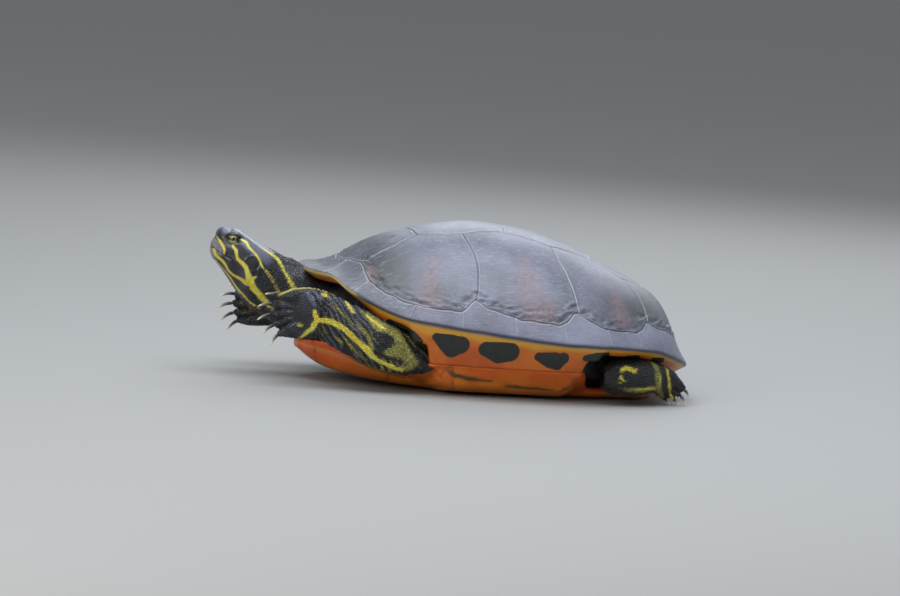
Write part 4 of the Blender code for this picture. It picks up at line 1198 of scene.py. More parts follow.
def half_width(x):
    """Half width of the carapace seen from above."""
    front = np.clip((WIDEST_X - x) / (WIDEST_X + SHELL_LENGTH / 2), 0, 1)
    rear = np.clip((x - WIDEST_X) / (SHELL_LENGTH / 2 - WIDEST_X), 0, 1)
    fullness = np.where(x < WIDEST_X, FRONT_FULLNESS, REAR_FULLNESS)
    return SHELL_WIDTH / 2 * (1 - np.maximum(front, rear)**fullness)**(1 / fullness)


def dome_height(x, y):
    """Height of the outer surface of the carapace."""
    rim = curve(RIM, x) + RIM_THICKNESS
    across = np.clip(np.abs(y) / np.maximum(half_width(x), 0.01), 0, 1)
    arch = (1 - (RIM_REACH * across)**2.4)**0.72
    foot = (1 - RIM_REACH**2.4)**0.72
    return rim + (curve(MIDLINE, x) - rim) * (arch - foot) / (1 - foot)


def bridge_share(x, drop=1.0):
    """1 beside the bridge, 0 at the leg openings; drop is 0 at the rim and 1 at the bridge seam."""
    front = BRIDGE_FRONT - BRIDGE_FRONT_SLANT * (1 - drop)
    rear = BRIDGE_REAR + BRIDGE_REAR_SLANT * (1 - drop)
    return ease(front - 5, front + 3, x) * (1 - ease(rear - 3, rear + 8, x))


def rim_outline(places):
    """Points on the rim's left side at distances from its front middle, then the same on the right, backwards."""
    sweep = np.linspace(0, math.pi, 4001)
    x = -SHELL_LENGTH / 2 * np.cos(sweep)
    y = -half_width(x)
    length = np.concatenate([[0], np.cumsum(np.hypot(np.diff(x), np.diff(y)))])
    if np.ndim(places) == 0:
        places = np.linspace(0, length[-1], places)
    else:
        places = np.interp(places, x, length)
        even = np.linspace(0, length[-1], RIM_POINTS // 2 + 1)
        close = np.concatenate([places + step for step in (-1.6, -1.0, -0.5, 0, 0.5, 1.0, 1.6)])
        even = even[np.abs(even[:, None] - places).min(axis=1) > 2.0]
        places = np.sort(np.concatenate([even, close[(close > 0.4) & (close < length[-1] - 0.4)],
                                         [0, length[-1]]]))
        places = places[np.concatenate([[True], np.diff(places) > 0.25])]
    left_x, left_y = np.interp(places, length, x), np.interp(places, length, y)
    left_y[[0, -1]] = 0
    return np.concatenate([left_x, left_x[-2:0:-1]]), np.concatenate([left_y, -left_y[-2:0:-1]])


class Dome:
    """The outside of the shell spread flat: a point's distance from the middle is measured over the surface."""
    TURNS, STEPS = 1440, 160

    def __init__(self):
        x, y = rim_outline(2001)
        angle = np.arctan2(y, x - DOME_CENTRE_X)
        order = np.argsort(angle)
        reach = np.hypot(x - DOME_CENTRE_X, y)
        self.angles = (np.arange(self.TURNS) + 0.5) * 2 * math.pi / self.TURNS - math.pi
        self.rho = np.interp(self.angles, angle[order], reach[order], period=2 * math.pi)
        t = np.linspace(0, 1, self.STEPS)
        px = DOME_CENTRE_X + self.rho[:, None] * np.cos(self.angles)[:, None] * t
        py = self.rho[:, None] * np.sin(self.angles)[:, None] * t
        pz = dome_height(px, py)
        step = np.sqrt(np.diff(px, axis=1)**2 + np.diff(py, axis=1)**2 + np.diff(pz, axis=1)**2)
        self.arc = np.concatenate([np.zeros((self.TURNS, 1)), np.cumsum(step, axis=1)], axis=1)
        self.full = self.arc[:, -1]
        share = np.linspace(0, 1, self.STEPS)
        self.inverse = np.array([np.interp(share * full, arc, t) for full, arc in zip(self.full, self.arc)])

    def row(self, angle):
        return np.clip(((angle + math.pi) / (2 * math.pi) * self.TURNS).astype(int), 0, self.TURNS - 1)

    def read(self, table, row, place):
        """A table's value between its steps, place from 0 to 1."""
        k = np.clip(place, 0, 1) * (self.STEPS - 1)
        low = np.minimum(k.astype(int), self.STEPS - 2)
        return table[row, low] + (table[row, low + 1] - table[row, low]) * (k - low)

    def flatten(self, x, y):
        angle = np.arctan2(y, x - DOME_CENTRE_X)
        row = self.row(angle)
        reach = self.read(self.arc, row, np.hypot(x - DOME_CENTRE_X, y) / self.rho[row])
        return np.stack([reach * np.cos(angle), reach * np.sin(angle)], axis=-1)

    def raise_up(self, flat):
        angle = np.arctan2(flat[:, 1], flat[:, 0])
        row = self.row(angle)
        t = self.read(self.inverse, row, np.hypot(*flat.T) / self.full[row])
        x = DOME_CENTRE_X + t * self.rho[row] * np.cos(angle)
        y = t * self.rho[row] * np.sin(angle)
        return np.stack([x, y, dome_height(x, y)], axis=1)


def sampled(line, step):
    """A broken line cut into even steps."""
    line, _, start = measured(line)
    places = np.linspace(0, start[-1], max(2, int(start[-1] / step) + 1))
    return np.stack([np.interp(places, start, column) for column in line.T], axis=1)


dome = Dome()
seam_x = [place for place, _ in MARGINAL_SEAMS]
rim_x, rim_y = rim_outline(seam_x)
RIM_COUNT = len(rim_x)
rim_flat = dome.flatten(rim_x, rim_y)
rim_in = -rim_flat / np.linalg.norm(rim_flat, axis=1)[:, None]
row = rim_flat + rim_in * np.interp(rim_x, *np.array(MARGINAL_WIDTHS).T)[:, None]
row_angle = np.arctan2(row[:, 1], row[:, 0])
row_order = np.argsort(row_angle)
row_reach = np.hypot(*row.T)


def above_row(flat):
    """How far each flat point lies inside the line where the rim's plates end."""
    angle = np.arctan2(flat[:, 1], flat[:, 0])
    return np.interp(angle, row_angle[row_order], row_reach[row_order], period=2 * math.pi) - np.hypot(*flat.T)


row_wave = wandering(np.pad(row, ((0, 0), (0, 1))), 8, 0.8, (63, 64))
row_line = np.concatenate([row + row_wave, (row + row_wave)[:1]])
row_solid = dome.raise_up(row)
seams = [row_line]
for way in (-1, 1):
    for line in BACK_SEAMS + [SIDE_SEAM] + COSTAL_SEAMS:
        plan = sampled(line, 0.6)
        wave = wandering(np.pad(plan * (1, way), ((0, 0), (0, 1))), 9, 0.7, (61, 62))
        plan = plan + wave * ease(0.5, 4, plan[:, 1:])
        seam = dome.flatten(plan[:, 0], plan[:, 1] * way)
        seams.append(seam[above_row(seam) > -0.3])
    on_side = np.flatnonzero(rim_y * way > 0)
    for at_rim, at_row in MARGINAL_SEAMS:
        start = on_side[np.argmin(np.abs(rim_x[on_side] - at_rim))]
        end = on_side[np.argmin(np.abs(row_solid[on_side, 0] - at_row))]
        seams.append(np.array([rim_flat[start], row[end]]))
seams.append(np.array([rim_flat[rim_x.argmax()], row[rim_x.argmax()]]))


def seam_gap(flat):
    """Distance of each flat point from the nearest seam."""
    gap = np.full(len(flat), 40.0)
    for line in seams:
        low, high = line.min(axis=0) - 20, line.max(axis=0) + 20
        near = np.flatnonzero(((flat > low) & (flat < high)).all(axis=1))
        a, step = line[:-1], np.diff(line, axis=0)
        length = np.maximum((step**2).sum(axis=1), 1e-9)
        for block in np.array_split(near, len(near) * len(a) // 4000000 + 1):
            rel = flat[block][:, None] - a
            t = np.clip((rel * step).sum(axis=2) / length, 0, 1)
            gap[block] = np.minimum(gap[block], np.linalg.norm(rel - t[..., None] * step, axis=2).min(axis=1))
    return gap


def rim_limit(flat):
    return np.interp(np.arctan2(flat[:, 1], flat[:, 0]), dome.angles, dome.full)


def grid(pitch, seed):
    """Slightly uneven points all over the flat shell."""
    gx, gy = np.meshgrid(np.arange(-190, 190, pitch), np.arange(-190, 190, pitch * 0.866))
    gx = gx + (np.arange(gx.shape[0])[:, None] % 2) * pitch / 2
    points = np.stack([gx.ravel(), gy.ravel()], axis=1)
    points += np.random.default_rng(seed).uniform(-0.12, 0.12, points.shape) * pitch
    return points[np.hypot(*points.T) < rim_limit(points) - RIM_ROUND - 0.7]


def dome_mesh():
    """The outside laid flat and meshed: closest beside the seams, closer on the wrinkled foot of the side plates."""
    close = []
    for line in seams:
        line = sampled(line, 0.95)
        along = np.gradient(line, axis=0)
        across = np.stack([-along[:, 1], along[:, 0]], axis=1) / np.linalg.norm(along, axis=1)[:, None]
        close += [line + across * offset for offset in (0, -0.5, 0.5, -1.1, 1.1, -1.9, 1.9)]
    close = np.concatenate(close)
    close = close[np.hypot(*close.T) < rim_limit(close) - RIM_ROUND - 0.5]
    cell = np.round(close / 0.42).astype(np.int64)
    close = close[np.unique(cell[:, 0] * 100003 + cell[:, 1], return_index=True)[1]]
    fine, coarse = grid(1.35, 5), grid(2.1, 6)
    above_fine, above_coarse = above_row(fine), above_row(coarse)
    base = np.concatenate([fine[(above_fine < 15) & (above_fine > -3)],
                           coarse[(above_coarse >= 15.5) | (above_coarse <= -3.5)]])
    base = base[seam_gap(base) > 2.6]
    boundary = rim_flat + rim_in * RIM_ROUND
    points = np.concatenate([boundary, close, base])
    edges = [(i, (i + 1) % RIM_COUNT) for i in range(RIM_COUNT)]
    out, _, faces, *_ = delaunay_2d_cdt([Vector(p) for p in points], edges, [], 1, 1e-5)
    return np.array(out), [tuple(face) for face in faces]


def under_rings():
    """Rings of points from the rim round its edge, under the rim's plates and over the hollow, and their depth."""
    dx, dy = np.roll(rim_x, -1) - np.roll(rim_x, 1), np.roll(rim_y, -1) - np.roll(rim_y, 1)
    in_x, in_y = -dy / np.hypot(dx, dy), dx / np.hypot(dx, dy)
    rim = curve(RIM, rim_x)

    def inner(t):
        scaled_x, scaled_y = DOME_CENTRE_X + t * (rim_x - DOME_CENTRE_X), t * rim_y
        return (DOME_CENTRE_X + (scaled_x - DOME_CENTRE_X) * INNER_SCALE, scaled_y * INNER_SCALE,
                dome_height(scaled_x, scaled_y) - WALL)

    rings = [np.stack([rim_x + in_x * step, rim_y + in_y * step, rim + up], axis=1)
             for step, up in ((0.0, 2.3), (0.1, 1.3))]
    keys = [np.stack([rim_x + in_x * 0.5, rim_y + in_y * 0.5, rim + 0.4], axis=1)]
    for t, depth, drop, at_opening in ((1.0, 0.5, 0.5, 1.0), (0.95, 1.0, 1.0, 1.6), (0.89, 1.45, 0.95, 0.8)):
        px, py, pz = inner(t)
        pz = pz - MARGIN_LIP * at_opening - 4.0 * ease(-116, -96, rim_x) * ease(-58, -66, rim_x) * (depth < 1.2)
        bridge = (rim_x + in_x * MARGIN_DEPTH * depth, rim_y + in_y * MARGIN_DEPTH * depth,
                  rim + (BRIDGE_TOP - rim) * drop)
        share = bridge_share(rim_x, drop)
        keys.append(np.stack([a + (b - a) * share for a, b in zip((px, py, pz), bridge)], axis=1))
    keys += [np.stack(inner(t), axis=1) for t in (0.8, 0.64, 0.44, 0.22, 0.06)]
    steps = [8, 8, 3, 3, 2, 2, 2, 2]
    for i, count in enumerate(steps):
        rings += [keys[i] + (keys[i + 1] - keys[i]) * k / count for k in range(count)]
    rings.append(keys[-1])
    return rings


flat, faces = dome_mesh()
outside = dome.raise_up(flat)
rings = under_rings()
points = [outside]
previous = np.arange(RIM_COUNT)
for ring in rings:
    current = np.arange(RIM_COUNT) + sum(len(block) for block in points)
    following = np.roll(np.arange(RIM_COUNT), -1)
    faces += [tuple(quad) for quad in np.stack([previous[following], previous, current, current[following]], axis=1)]
    points.append(ring)
    previous = current
points.append(np.mean(rings[-1], axis=0)[None])
pole = sum(len(block) for block in points) - 1
faces += [(previous[(i + 1) % RIM_COUNT], previous[i], pole) for i in range(RIM_COUNT)]
points = np.concatenate(points)
carapace_mesh = closed_mesh("carapace_plates", points * MM, faces)

# relief: grooves with raised lips at the seams, wrinkles on the foot of the side plates and the front of the back
top = np.arange(len(points)) < len(outside)
gap = np.full(len(points), 20.0)
gap[:len(outside)] = seam_gap(flat)
ring_row = np.where(top, -1, (np.arange(len(points)) - len(outside)) // RIM_COUNT)
ring_row[-1] = len(rings)
ring_place = (np.arange(len(points)) - len(outside)) % RIM_COUNT
rim_length = np.concatenate([[0], np.cumsum(np.hypot(np.diff(rim_x), np.diff(rim_y)))])
seam_at = [i for i in range(RIM_COUNT) if min(abs(rim_x[i] - x) for x in seam_x) < 0.02 and rim_y[i] != 0]
seam_at += [int(rim_x.argmax())]
under_gap = np.abs(rim_length[:, None] - rim_length[seam_at]).min(axis=1)
gap[~top] = under_gap[ring_place[~top]]
above = np.zeros(len(points))
above[:len(outside)] = above_row(flat)
radial = np.hypot(*flat.T)
turned = np.stack([np.arctan2(flat[:, 1], flat[:, 0]) * 130 / 9.0, radial / 1.7, np.zeros(len(flat))], axis=1)
wrinkle = noise(turned, 1.0, 71) + 0.5 * noise(turned * 1.9, 1.0, 72)
foot = ease(0.6, 2.0, above[:len(flat)]) * ease(13, 5, above[:len(flat)]) * (np.abs(outside[:, 1]) > 30)
long_way = np.stack([outside[:, 0] / 14, outside[:, 1] / 1.9, outside[:, 2] / 1.9], axis=1)
rugose = noise(long_way, 1.0, 73)
front_back = ease(-60, -95, outside[:, 0]) + 0.35 * ease(40, 20, np.abs(outside[:, 1]))
relief = np.zeros(len(points))
on_rim_plates = np.concatenate([above_row(flat) < -0.8, np.ones(len(points) - len(flat), bool)])
groove = hump(gap, GROOVE_WIDTH)
relief -= np.where(on_rim_plates, RIM_GROOVE_DEPTH, GROOVE_DEPTH) * groove * (ring_row < HOLLOW_RING)
relief += np.where(on_rim_plates, RIM_LIP_HEIGHT, LIP_HEIGHT) * hump(gap - LIP_PLACE, 0.5) * top
relief[:len(flat)] += 0.40 * (1 - np.exp(-gap[:len(flat)] / 8)) * (above[:len(flat)] > 0)
relief[:len(flat)] += 0.95 * foot * wrinkle + 0.30 * np.clip(front_back, 0, 1) * rugose
relief[:len(flat)] *= ease(0, 1.2, rim_limit(flat) - RIM_ROUND - radial)
write_points(carapace_mesh, points + read_normals(carapace_mesh) * relief[:, None])

# what the material reads: seam, reddish bar, distance from the seam, rough front and back
x, y, z = points.T
wander = wandering(points, 12, 2.5, (74, 75, 76))
bar = bands(np.stack([x, np.abs(y), z], axis=1) + wander, BARS, 3.5) * top
rough = np.zeros(len(points))
rough[:len(flat)] = np.clip(front_back, 0, 1)
seam_shade = groove * np.where(on_rim_plates, 0.5, 1.0 - 0.6 * ease(74, 88, x))
paint(carapace_mesh, "plate", seam_shade, bar, np.clip(gap / SPREAD, 0, 1), rough)
# then underside, dark mark, yellow rim and hollow, the hollow inside the shell painted near-black as shade
under = (ring_row >= UNDER_RINGS[0]) & (ring_row < UNDER_RINGS[1])
upright = np.stack([x + 0.12 * wander[:, 0], z + 0.06 * wander[:, 2], 0 * y], axis=1)
mark = bands(upright, [[(x, z, 0, high) for x, z, high in line] for line in UNDER_MARKS], 1.5)
depth = ring_row / HOLLOW_RING
yellow_rim = ease(0.02, 0.1, depth) * ease(0.40, 0.24, depth + 0.03 * wander[:, 0]) * (ring_row >= 1)
share = bridge_share(x, np.clip((48 - z) / 25, 0, 1))
opening_edge = hump(share - 0.5, 0.28) * (x > 0) * (ring_row > 4) * (z < 40)
paint(carapace_mesh, "under", ease(1.5, 3.0, ring_row), mark * under,
      np.maximum(yellow_rim, 0.85 * opening_edge), ease(HOLLOW_RING, HOLLOW_RING + 2, ring_row))
# and the rim's own plates, lighter towards the rear as a painted sky sheen; the line along their edge, dark as
# painted shade but pale at the front; the wrinkled foot; and patches painted darker as shade, also on the front rim
edge_line = hump(ring_row - 1.2 + 0.25 * wander[:, 1], 1.3) * (2 * ease(-114, -102, x) - 1)
shaded_patch = np.zeros(len(points))
for patch_x, patch_z, long, high, most in SHADED_PATCHES:
    shaded_patch = np.maximum(shaded_patch, most * hump(x - patch_x, long, z - patch_z, high))
foot_share = np.zeros(len(points))
foot_share[:len(flat)] = foot
paint(carapace_mesh, "edge", on_rim_plates * (0.08 + 0.92 * ease(-120, 60, x)), edge_line, foot_share,
      shaded_patch * ~on_rim_plates + 0.7 * on_rim_plates * ease(-92, -118, x))


def growth_rings(finish, spread, fine, pitch):
    """Waves from -1 to 1 side by side with the seams."""
    return finish.node("Math", {"operation": "SINE"}, {0: spread * (SPREAD * 2 * math.pi / pitch) + fine * 3})


shell_finish = Finish("shell_horn", IOR=1.52, Specular_IOR_Level=0.6)
seam_share, red, spread, rough_share = shell_finish.painted("plate")
below, dark_mark, rim_share, hollow = shell_finish.painted("under")
rim_plate_sheen, edge_shade_and_pale_line, wrinkled, shaded_patch_share = shell_finish.painted("edge")
cloud = shell_finish.noise(26, 4)
fine = shell_finish.noise(3.0, 5, 0.65)
scratch = shell_finish.noise(0.8, 4, 0.65, (0.12, 0.7, 1.0))
furrow = shell_finish.noise(2.2, 4, 0.65, (0.10, 0.8, 0.55))
dust = shell_finish.noise(0.9, 2, 0.5).between(0.70, 0.76) * shell_finish.noise(34).between(0.45, 0.6)
lip = spread.between(0.028, 0.045) * (1 - spread.between(0.05, 0.07))
# the horn's blue-grey is partly its own tone and partly a painted sky sheen
horn = shell_finish.layers(
    (0.078, 0.079, 0.106),
    (cloud.between(0.28, 0.72), (0.150, 0.152, 0.204)),
    # painted sky sheen on the rim's plates, growing towards the rear
    (rim_plate_sheen * (0.55 + cloud.between(0.3, 0.7) * 0.40), (0.250, 0.252, 0.330)),
    (fine.between(0.45, 0.75) * 0.35, (0.22, 0.23, 0.28)),
    (scratch.between(0.54, 0.68) * 0.45, (0.33, 0.335, 0.40)),
    (scratch.between(0.43, 0.30) * 0.50, (0.045, 0.046, 0.060)),
    # painted shade on the patches that face away from the light, and on the front rim plates
    (shaded_patch_share * (0.70 + fine * 0.5), (0.038, 0.042, 0.040)),
    (wrinkled * furrow.between(0.48, 0.36) * 0.9, (0.040, 0.042, 0.052)),
    (rough_share * furrow.between(0.46, 0.36) * 0.60, (0.048, 0.055, 0.058)),
    (rough_share * furrow.between(0.54, 0.68) * 0.40, (0.30, 0.31, 0.35)),
    (red * 0.55 * fine.between(0.30, 0.65), (0.270, 0.165, 0.160)),
    (dust * 0.7, (0.48, 0.47, 0.45)),
    (seam_share.between(0.35, 0.95) * 0.70, (0.022, 0.023, 0.030)),
    (lip * (0.50 - rim_plate_sheen * 0.25), (0.40, 0.42, 0.46)))
mark_tone = shell_finish.mix(fine.between(0.3, 0.7), (0.006, 0.008, 0.006), (0.014, 0.019, 0.012))
orange_tone = shell_finish.layers(
    (0.48, 0.082, 0.004),
    (cloud.between(0.35, 0.65), (0.62, 0.145, 0.006)),
    (rim_share, (0.62, 0.31, 0.020)),
    (fine.between(0.55, 0.8) * 0.3, (0.30, 0.11, 0.02)),
    (dark_mark.between(0.36, 0.64), mark_tone),
    (seam_share.between(0.2, 0.9) * 0.5, (0.10, 0.045, 0.012)))
colour = shell_finish.layers(
    horn, (below, orange_tone),
    # a dark line of painted shade along the rim's edge, and at the front a pale yellow line instead
    (edge_shade_and_pale_line.between(0.0, 1.0) * 0.9, (0.020, 0.021, 0.034)),
    ((edge_shade_and_pale_line * -1.0).between(0.1, 0.9) * 0.8, (0.62, 0.46, 0.14)),
    # the hollow inside the shell is painted near-black as shade
    (hollow, (0.030, 0.022, 0.018)))
roughness = 0.30 + fine * 0.18 + red * 0.08 + shaded_patch_share * 0.08
height = (scratch * 0.5 + fine * 0.35 + rough_share * furrow * 1.6
          + growth_rings(shell_finish, spread, fine, 1.5) * 0.06 * (1 - spread.between(0.2, 0.6)))
carapace_plates = placed("carapace_plates", carapace_mesh, shell_finish.surface(colour, roughness, height, 0.22))
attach(carapace_plates, "root")
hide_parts("carapace")

# ---------------------------------------------------------------- plastron
# The lower shell: a smooth turned-up lobe under the chin, a flat middle that the animal rests on, and a bridge up
# to the rim on each side.  Bone under thin orange horn in six pairs of plates; a few dark green strokes on it.
# half width and height of the underside in the middle, and how far the edge stands above it, along X
PLASTRON_LOBES = [(-138, 12), (-134, 23), (-124, 35), (-102, 46), (-78, 51), (-62, 56), (64, 56), (78, 50),
                  (95, 47), (108, 37), (118, 18)]
PLASTRON_UNDERSIDE = [(-138, 20.5), (-125, 11.5), (-108, 6.8), (-85, 3.4), (-63, 1.6), (-35, 0), (102, 0),
                      (118, 2)]
PLASTRON_EDGE = [(-138, 7), (-130, 14.5), (-120, 19), (-107, 17.5), (-90, 12.5), (-68, 9.5), (60, 9), (118, 8)]
PLASTRON_FRONT, PLASTRON_REAR = -138, 118
PLASTRON_THICKNESS = 8.5
GAP = 0.12                   # between the two shells
SECTION_STEPS = 8
BRIDGE_FALL = 24.0           # the slanting ends of the bridge, in height for one slant
STATION_STEP = 1.5
FAR = 40.0                   # a distance from the seams where they no longer show
PLASTRON_GROOVE = 0.75
# seams by X and by the distance round the section from the middle of the underside
PLASTRON_SEAMS = [
    [(-141, 0), (122, 0)],
    [(-115, 0), (-123, 16), (-131, 30), (-134, 48)],
    [(-88, 0), (-87, 26), (-80, 50), (-78, 72)],
    [(-43, 0), (-45, 40), (-39, 74), (-44, 96), (-45, 120)],
    [(22, 0), (20, 40), (34, 72), (49, 90), (50, 120)],
    [(74, 0), (80, 24), (94, 46), (99, 60)],
    [(-60, 82), (-50, 84), (-42, 96)],
    [(64, 82), (56, 84), (49, 92)],
]
# dark green strokes on the bridge, by X, distance from the middle, Z and width
BRIDGE_MARKS = [
    [(-45, 82, 17.5, 3), (-40, 81.4, 15.6, 3.4), (-29, 81.2, 13.6, 3.2), (-13.2, 81, 12.8, 2.2)],
    [(-2, 78.5, 9.8, 2.4), (14.9, 77.4, 8.7, 2.8), (31, 77.2, 8.5, 1.8)],
    [(38.1, 78.7, 9.9, 2.6), (46.6, 80.1, 12, 2), (54, 82, 15.5, 1.4)],
]


def plastron_section(x):
    """Half section of the lower shell at x, from the middle of its underside round to its middle inside."""
    lobe = float(curve(PLASTRON_LOBES, x))
    under = float(curve(PLASTRON_UNDERSIDE, x))
    edge = float(curve(PLASTRON_EDGE, x))
    seam = float(half_width(x)) - MARGIN_DEPTH
    top = under + PLASTRON_THICKNESS
    hull = ((0, 0), (0.4, 0), (0.72, 0.05), (0.93, 0.28), (1, 0.62), (0.985, 0.88), (0.92, 1))
    lobe_form = [(lobe * y, under + edge * z) for y, z in hull]
    lobe_form[5:5] = [(lobe * 0.995, under + edge * 0.74)]
    lobe_form += [(lobe * 0.78, max(top - 0.5, under + edge * 0.9)), (lobe * 0.45, top - 1), (0, top - 1.5)]
    rise = BRIDGE_TOP - GAP
    bridge_form = [(0, under), (36, under), (56, under + 1.6), (68, under + 3.4), (78, under + 9),
                   (seam - 2.6, rise - 3.0), (seam - 0.8, rise - 0.5), (seam - 4, rise + 0.1), (68, under + 12),
                   (44, top - 0.5), (0, top - 1.5)]
    shares = [float(bridge_share(x, 1 + max(0.0, rise - z) / BRIDGE_FALL)) for _, z in bridge_form]
    return [(a[0] + (b[0] - a[0]) * share, a[1] + (b[1] - a[1]) * share)
            for a, b, share in zip(lobe_form, bridge_form, shares)]


def smooth_section(x):
    """The whole section as one smooth closed line."""
    half = np.array(plastron_section(x))
    keys = np.concatenate([half, half[-2:0:-1] * (-1, 1)])
    before, after, beyond = np.roll(keys, 1, axis=0), np.roll(keys, -1, axis=0), np.roll(keys, -2, axis=0)
    t = np.arange(SECTION_STEPS)[:, None, None] / SECTION_STEPS
    line = 0.5 * (2 * keys + (after - before) * t + (2 * before - 5 * keys + 4 * after - beyond) * t**2
                  + (3 * keys - before - 3 * after + beyond) * t**3)
    line = line.transpose(1, 0, 2).reshape(-1, 2)
    line[:, 1] = np.clip(line[:, 1], half[:, 1].min(), half[:, 1].max() + 0.2)
    # the bridge's side stays behind the wall above it
    seam, low = float(half_width(x)) - MARGIN_DEPTH - 0.1, half[0, 1] + 9
    reach = 78 + (seam - 78) * np.clip((line[:, 1] - low) / (BRIDGE_TOP - GAP - low), 0, 1)
    reach = reach + 30 * (1 - float(bridge_share(x)))
    line[:, 0] = np.clip(line[:, 0], -reach, reach)
    return line


# places along X and the share of the full section there, which rounds off both ends
stations = [(-140.2, 0.35), (-139.9, 0.62), (-139.3, 0.84), (-138.6, 0.95)]
stations += [(x, 1.0) for x in np.arange(PLASTRON_FRONT, PLASTRON_REAR + 0.01, STATION_STEP)][:-1]
stations += [(117.4, 0.97), (118.0, 0.88), (118.3, 0.7)]
sections = []
for x, scale in stations:
    line = smooth_section(float(np.clip(x, PLASTRON_FRONT, PLASTRON_REAR)))
    middle = line.mean(axis=0)
    line = middle + (line - middle) * scale
    notch = 6.0 * ease(108, 118, x) * (1 - np.minimum(1, np.abs(line[:, 0]) / 9))
    sections.append(np.stack([x - notch, line[:, 0], line[:, 1]], axis=1))
sections = np.array(sections)
rows, around = sections.shape[:2]
points = sections.reshape(-1, 3)
index = np.arange(rows * around).reshape(rows, around)
a, b = index[:-1], index[1:]
faces = np.stack([a, np.roll(a, -1, axis=1), np.roll(b, -1, axis=1), b], axis=-1).reshape(-1, 4).tolist()
for row, way in ((0, 1), (rows - 1, -1)):
    points = np.concatenate([points, sections[row].mean(axis=0)[None]])
    faces += [(int(index[row, (k + 1) % around]), int(index[row, k]), len(points) - 1)[::way] for k in range(around)]
plastron_mesh = closed_mesh("plastron_plates", points * MM, faces)

step = np.linalg.norm(np.diff(sections[:, :, 1:], axis=1), axis=2)
half_count = around // 2
reach = np.concatenate([np.zeros((rows, 1)), np.cumsum(step[:, :half_count], axis=1)], axis=1)
reach = np.concatenate([reach, reach[:, -2:0:-1]], axis=1)[:, :around]
spread_out = np.stack([sections[:, :, 0], reach, np.zeros_like(reach)], axis=-1).reshape(-1, 3)
spread_out = np.concatenate([spread_out, np.zeros((2, 3)) + (-200, 200, 0)])
wander = np.pad(wandering(points, 10, 0.9, (81, 82)), ((0, 0), (0, 1)))
gap = np.full(len(points), FAR)
for line in PLASTRON_SEAMS:
    gap = np.minimum(gap, line_distance(spread_out + wander, [(x, w, 0) for x, w in line])[0])
inside_first = 7 * SECTION_STEPS
place = np.arange(rows * around) % around
inner_side = np.concatenate([(place > inside_first + 4) & (place < around - inside_first - 4), [False, False]])
gap[inner_side] = FAR
relief = -0.42 * hump(gap, PLASTRON_GROOVE) + 0.06 * hump(gap - 2.0, 0.8)
# nothing stands out of the face that the animal rests on
relief = np.where(points[:, 2] < 2.5, np.minimum(relief, 0), relief + 0.10 * noise(points, 16, 83))
write_points(plastron_mesh, points + read_normals(plastron_mesh) * relief[:, None])
# what the material reads: seam, green stroke, distance from the seam; then inside, redder parts, the paler edge of
# the lobes and the face that the animal rests on
x, y, z = points.T
green = bands(np.stack([x, np.abs(y), z], axis=1) + wandering(points, 5, 0.9, (84, 85, 86)), BRIDGE_MARKS, 0.9)
red = ease(44, 58, x) * ease(3.0, 6.0, z) + 0.9 * ease(9, 20, z) * (x < -66)
red = red + 0.45 * ease(9, 19, z) * (np.abs(x) < 64)
edge_place = 4.2 * SECTION_STEPS
edge_line = hump(place - edge_place, 4.0) + hump(around - place - edge_place, 4.0)
edge_line = np.concatenate([edge_line, [0, 0]]) * (1 - bridge_share(x))
paint(plastron_mesh, "plate", hump(gap, 0.8), green, np.clip(gap / SPREAD, 0, 1), np.ones(len(points)))
paint(plastron_mesh, "under", inner_side, np.clip(red, 0, 1), np.clip(edge_line, 0, 1), ease(3.0, 0.4, z))
belly_finish = Finish("belly_horn", IOR=1.5, Specular_IOR_Level=0.4, Coat_Weight=0.15, Coat_Roughness=0.12)
seam_share, stroke, spread, _ = belly_finish.painted("plate")
inner, ruddy, edge_share, worn = belly_finish.painted("under")
cloud = belly_finish.noise(18, 4)
fine = belly_finish.noise(2.4, 5, 0.65)
scratch = belly_finish.noise(1.0, 3, 0.6, (0.10, 0.8, 1.0))
horn = belly_finish.layers(
    (0.54, 0.125, 0.006),
    (cloud.between(0.35, 0.65), (0.66, 0.190, 0.010)),
    (ruddy * 0.85, (0.66, 0.065, 0.008)),
    (edge_share * 0.55, (0.66, 0.30, 0.045)),
    (worn * fine.between(0.4, 0.7) * 0.45, (0.42, 0.24, 0.07)),
    (fine.between(0.56, 0.8) * 0.30, (0.30, 0.10, 0.02)),
    (scratch.between(0.62, 0.75) * 0.18, (0.75, 0.42, 0.16)),
    (stroke * fine.between(0.15, 0.45), (0.045, 0.052, 0.012)),
    (seam_share * 0.65, (0.11, 0.040, 0.010)),
    (inner, (0.42, 0.22, 0.10)))
height = (scratch * 0.4 + fine * 0.35
          + growth_rings(belly_finish, spread, fine, 1.8) * 0.08 * (1 - spread.between(0.3, 0.7)))
belly_horn = belly_finish.surface(horn, 0.30 + fine * 0.20 + worn * 0.12, height, 0.15)
plastron_plates = placed("plastron_plates", plastron_mesh, belly_horn)
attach(plastron_plates, "root")
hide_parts("plastron")

# ---------------------------------------------------------------- floor, light and camera
# A plain flat floor of mid grey, so that little light comes back onto the dark skin, three large soft lamps under
# an even pale sky, and the long lens of someone who watches from a few metres away.
FLOOR_SIZE = 30.0            # metres
FLOOR_COLOUR, FLOOR_ROUGHNESS = (0.32, 0.315, 0.30, 1), 0.8
SKY_COLOUR, SKY_STRENGTH = (0.80, 0.86, 0.92, 1), 0.42
LAMP_AIM = Vector((0, 0, 0.05))
floor_mesh = bpy.data.meshes.new("floor")
floor_mesh.from_pydata([(-FLOOR_SIZE, -FLOOR_SIZE, 0), (FLOOR_SIZE, -FLOOR_SIZE, 0), (FLOOR_SIZE, FLOOR_SIZE, 0),
                        (-FLOOR_SIZE, FLOOR_SIZE, 0)], [], [(0, 1, 2, 3)])
floor = placed("floor", floor_mesh)
floor_finish = bpy.data.materials.new("floor_paper")
floor_finish.use_nodes = True
floor_shader = floor_finish.node_tree.nodes["Principled BSDF"]
floor_shader.inputs["Base Color"].default_value = FLOOR_COLOUR
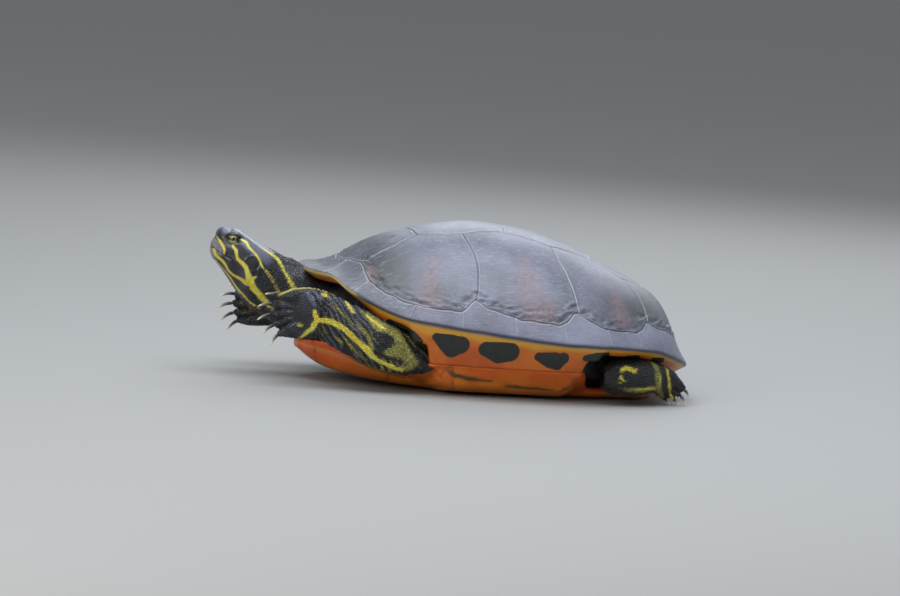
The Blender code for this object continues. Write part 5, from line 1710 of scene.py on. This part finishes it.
floor_shader.inputs["Roughness"].default_value = FLOOR_ROUGHNESS
floor_mesh.materials.append(floor_finish)

LAMPS = {                    # place in metres, size, watts, colour
    "sky_lamp": ((-0.1, -0.3, 1.5), 1.5, 30.0, (0.84, 0.90, 1.0)),
    "side_lamp": ((-1.0, -1.3, 0.7), 0.7, 9.0, (1.0, 0.97, 0.92)),
    "rear_lamp": ((0.5, 1.2, 1.0), 1.2, 10.0, (0.88, 0.93, 1.0)),
}
for name, (place, size, watts, colour) in LAMPS.items():
    lamp = bpy.data.lights.new(name, "AREA")
    lamp.shape, lamp.size, lamp.energy, lamp.color = "SQUARE", size, watts, colour
    holder = placed(name, lamp)
    holder.location = place
    holder.rotation_euler = (LAMP_AIM - Vector(place)).to_track_quat("-Z", "Y").to_euler()
world = bpy.data.worlds.new("studio")
world.use_nodes = True
world.node_tree.nodes["Background"].inputs["Color"].default_value = SKY_COLOUR
world.node_tree.nodes["Background"].inputs["Strength"].default_value = SKY_STRENGTH
bpy.context.scene.world = world
bpy.context.scene.view_settings.view_transform = "Standard"

# target and distance in metres; azimuth 0 looks straight at the animal's left side
CAMERA_AZIMUTH, CAMERA_ELEVATION, CAMERA_ROLL = math.radians(-11), math.radians(5.49), math.radians(4.2)
CAMERA_TARGET = Vector((-0.0315, 0, 0.0614))
CAMERA_DISTANCE = 5.2995
FOCAL_LENGTH, FRAME_WIDTH = 300, 36
lens = bpy.data.cameras.new("long_lens")
lens.lens, lens.sensor_width, lens.clip_end = FOCAL_LENGTH, FRAME_WIDTH, 100
camera = placed("camera", lens)
back = Vector((math.sin(CAMERA_AZIMUTH) * math.cos(CAMERA_ELEVATION),
               -math.cos(CAMERA_AZIMUTH) * math.cos(CAMERA_ELEVATION), math.sin(CAMERA_ELEVATION)))
camera.location = CAMERA_TARGET + back * CAMERA_DISTANCE
turn = back.to_track_quat("Z", "Y").to_matrix() @ Matrix.Rotation(CAMERA_ROLL, 3, "Z")
camera.rotation_euler = turn.to_euler()
bpy.context.scene.camera = camera
